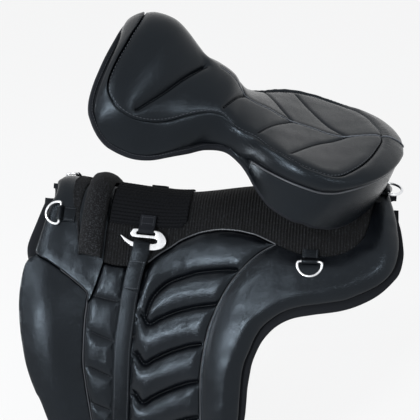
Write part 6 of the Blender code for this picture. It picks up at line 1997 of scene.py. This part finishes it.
REAR_X = HEM[-1, 0]
tab_loop = joined(smooth([(REAR_X - 0.026, 0.022), (REAR_X, 0.022)], 0.003),
                  smooth([(REAR_X, 0.022), (REAR_X, -0.022)], 0.003),
                  smooth([(REAR_X, -0.022), (REAR_X - 0.026, -0.022)], 0.003),
                  smooth([(REAR_X - 0.026, -0.022), (REAR_X - 0.026, 0.022)], 0.003))
tab_closed = closed_up(tab_loop)


def tab_height(flat):
    away = near(flat, [tab_closed])[0]
    return ON_TOP + 0.002 * curled(away, 0.0012, 0.5) - np.exp(-((away - 0.0028) / 0.0007)**2) * 0.0004


points, faces = layer(tab_loop, ON_TOP, tab_height, 0.0030, (0.0006, 0.0014, 0.0021, 0.0028, 0.0035))
make("cantle_hook_tab", points, faces, hook_fabric, "loop_fabric", "seat_tab", ["cantle_hook_tab"])
print("made", made_pieces[-5:])

# %% [markdown]
# Thread on the seat: a row along the inner line, a row in each chevron, rows on the hem, and the
# pale cord that runs down the middle of the rear half.

# %% Seat thread
def seat_row(flat, lift):
    """A line on the seat's field, lifted with it, and the ways out of the leather."""
    path = np.column_stack((flat, field_top(flat) + lift))
    step = 0.001
    slope_x = (field_top(flat + (step, 0.0)) - field_top(flat - (step, 0.0))) / (2 * step)
    slope_y = (field_top(flat + (0.0, step)) - field_top(flat - (0.0, step))) / (2 * step)
    out = unit(np.column_stack((-slope_x, -slope_y, np.ones(len(flat)))))
    turned_out = unit(lifted(PIVOT + out) - PIVOT)
    return lifted(path), turned_out


rows = []
for line in seat_lines:
    path, out = seat_row(smooth(line, 0.0012), 0.0002)
    rows.append(stitches(path, out, 0.0046, 0.0029, THREAD))
inside_line = pulled_in(top_loop, 0.0020)
inside_line = closed_up(inside_line)
path, out = seat_row(smooth(inside_line, 0.0020), 0.0003)
rows.append(stitches(path, out, 0.0050, 0.0031, THREAD * 1.4))
points, faces = stacked(*rows)
make("seat_thread", points, faces, thread_stuff, "black_leather", "seat")

hem_row = seat_place(closed_up(hem_ring) + closed_up(hem_in) * 0.0043, 0.0101)
hem_row = lifted(hem_row)
hem_out = closed_up(hem_ring)
hem_out = back_normal(hem_out[:, 0], hem_out[:, 1])
hem_out = unit(lifted(PIVOT + hem_out) - PIVOT)
points, faces = stitches(hem_row, hem_out, HEM_STITCH, 0.0026, THREAD)
make("hem_thread", points, faces, thread_stuff, "panel_lining", "seat")

x_row = np.arange(CORD_SPAN[0], inner_ring[REAR_MIDDLE, 0] - 0.001, 0.0015)
cord_flat = np.column_stack((x_row, np.zeros(len(x_row))))
cord_line = np.column_stack((cord_flat, field_top(cord_flat) + 0.0005))
over_roll = np.array([ring[REAR_MIDDLE] for ring in reversed(rings[4:])]) + (0.0, 0.0, 0.0004)
cord_line = smooth(np.vstack((cord_line, over_roll)), 0.0015)
path = lifted(cord_line)
across = np.repeat(np.array([[0.0, 1.0, 0.0]]), len(path), 0)
twist = []
turn = np.arange(10) / 10 * math.tau
for x in cord_line[:, 0]:
    r = 0.0010 + 0.00016 * np.cos(2 * turn + x / 0.0011)
    twist.append(np.stack((np.cos(turn) * r, np.sin(turn) * r), -1))
points, faces = swept(path, across, np.array(twist))
make("seat_centre_cord", points, faces, pale_thread, "black_leather", "seat")
print("made", made_pieces[-3:])

# %% Close
bpy.context.scene.view_settings.view_transform = "Standard"
low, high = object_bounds()
print("dressed box", tuple(low), tuple(high))
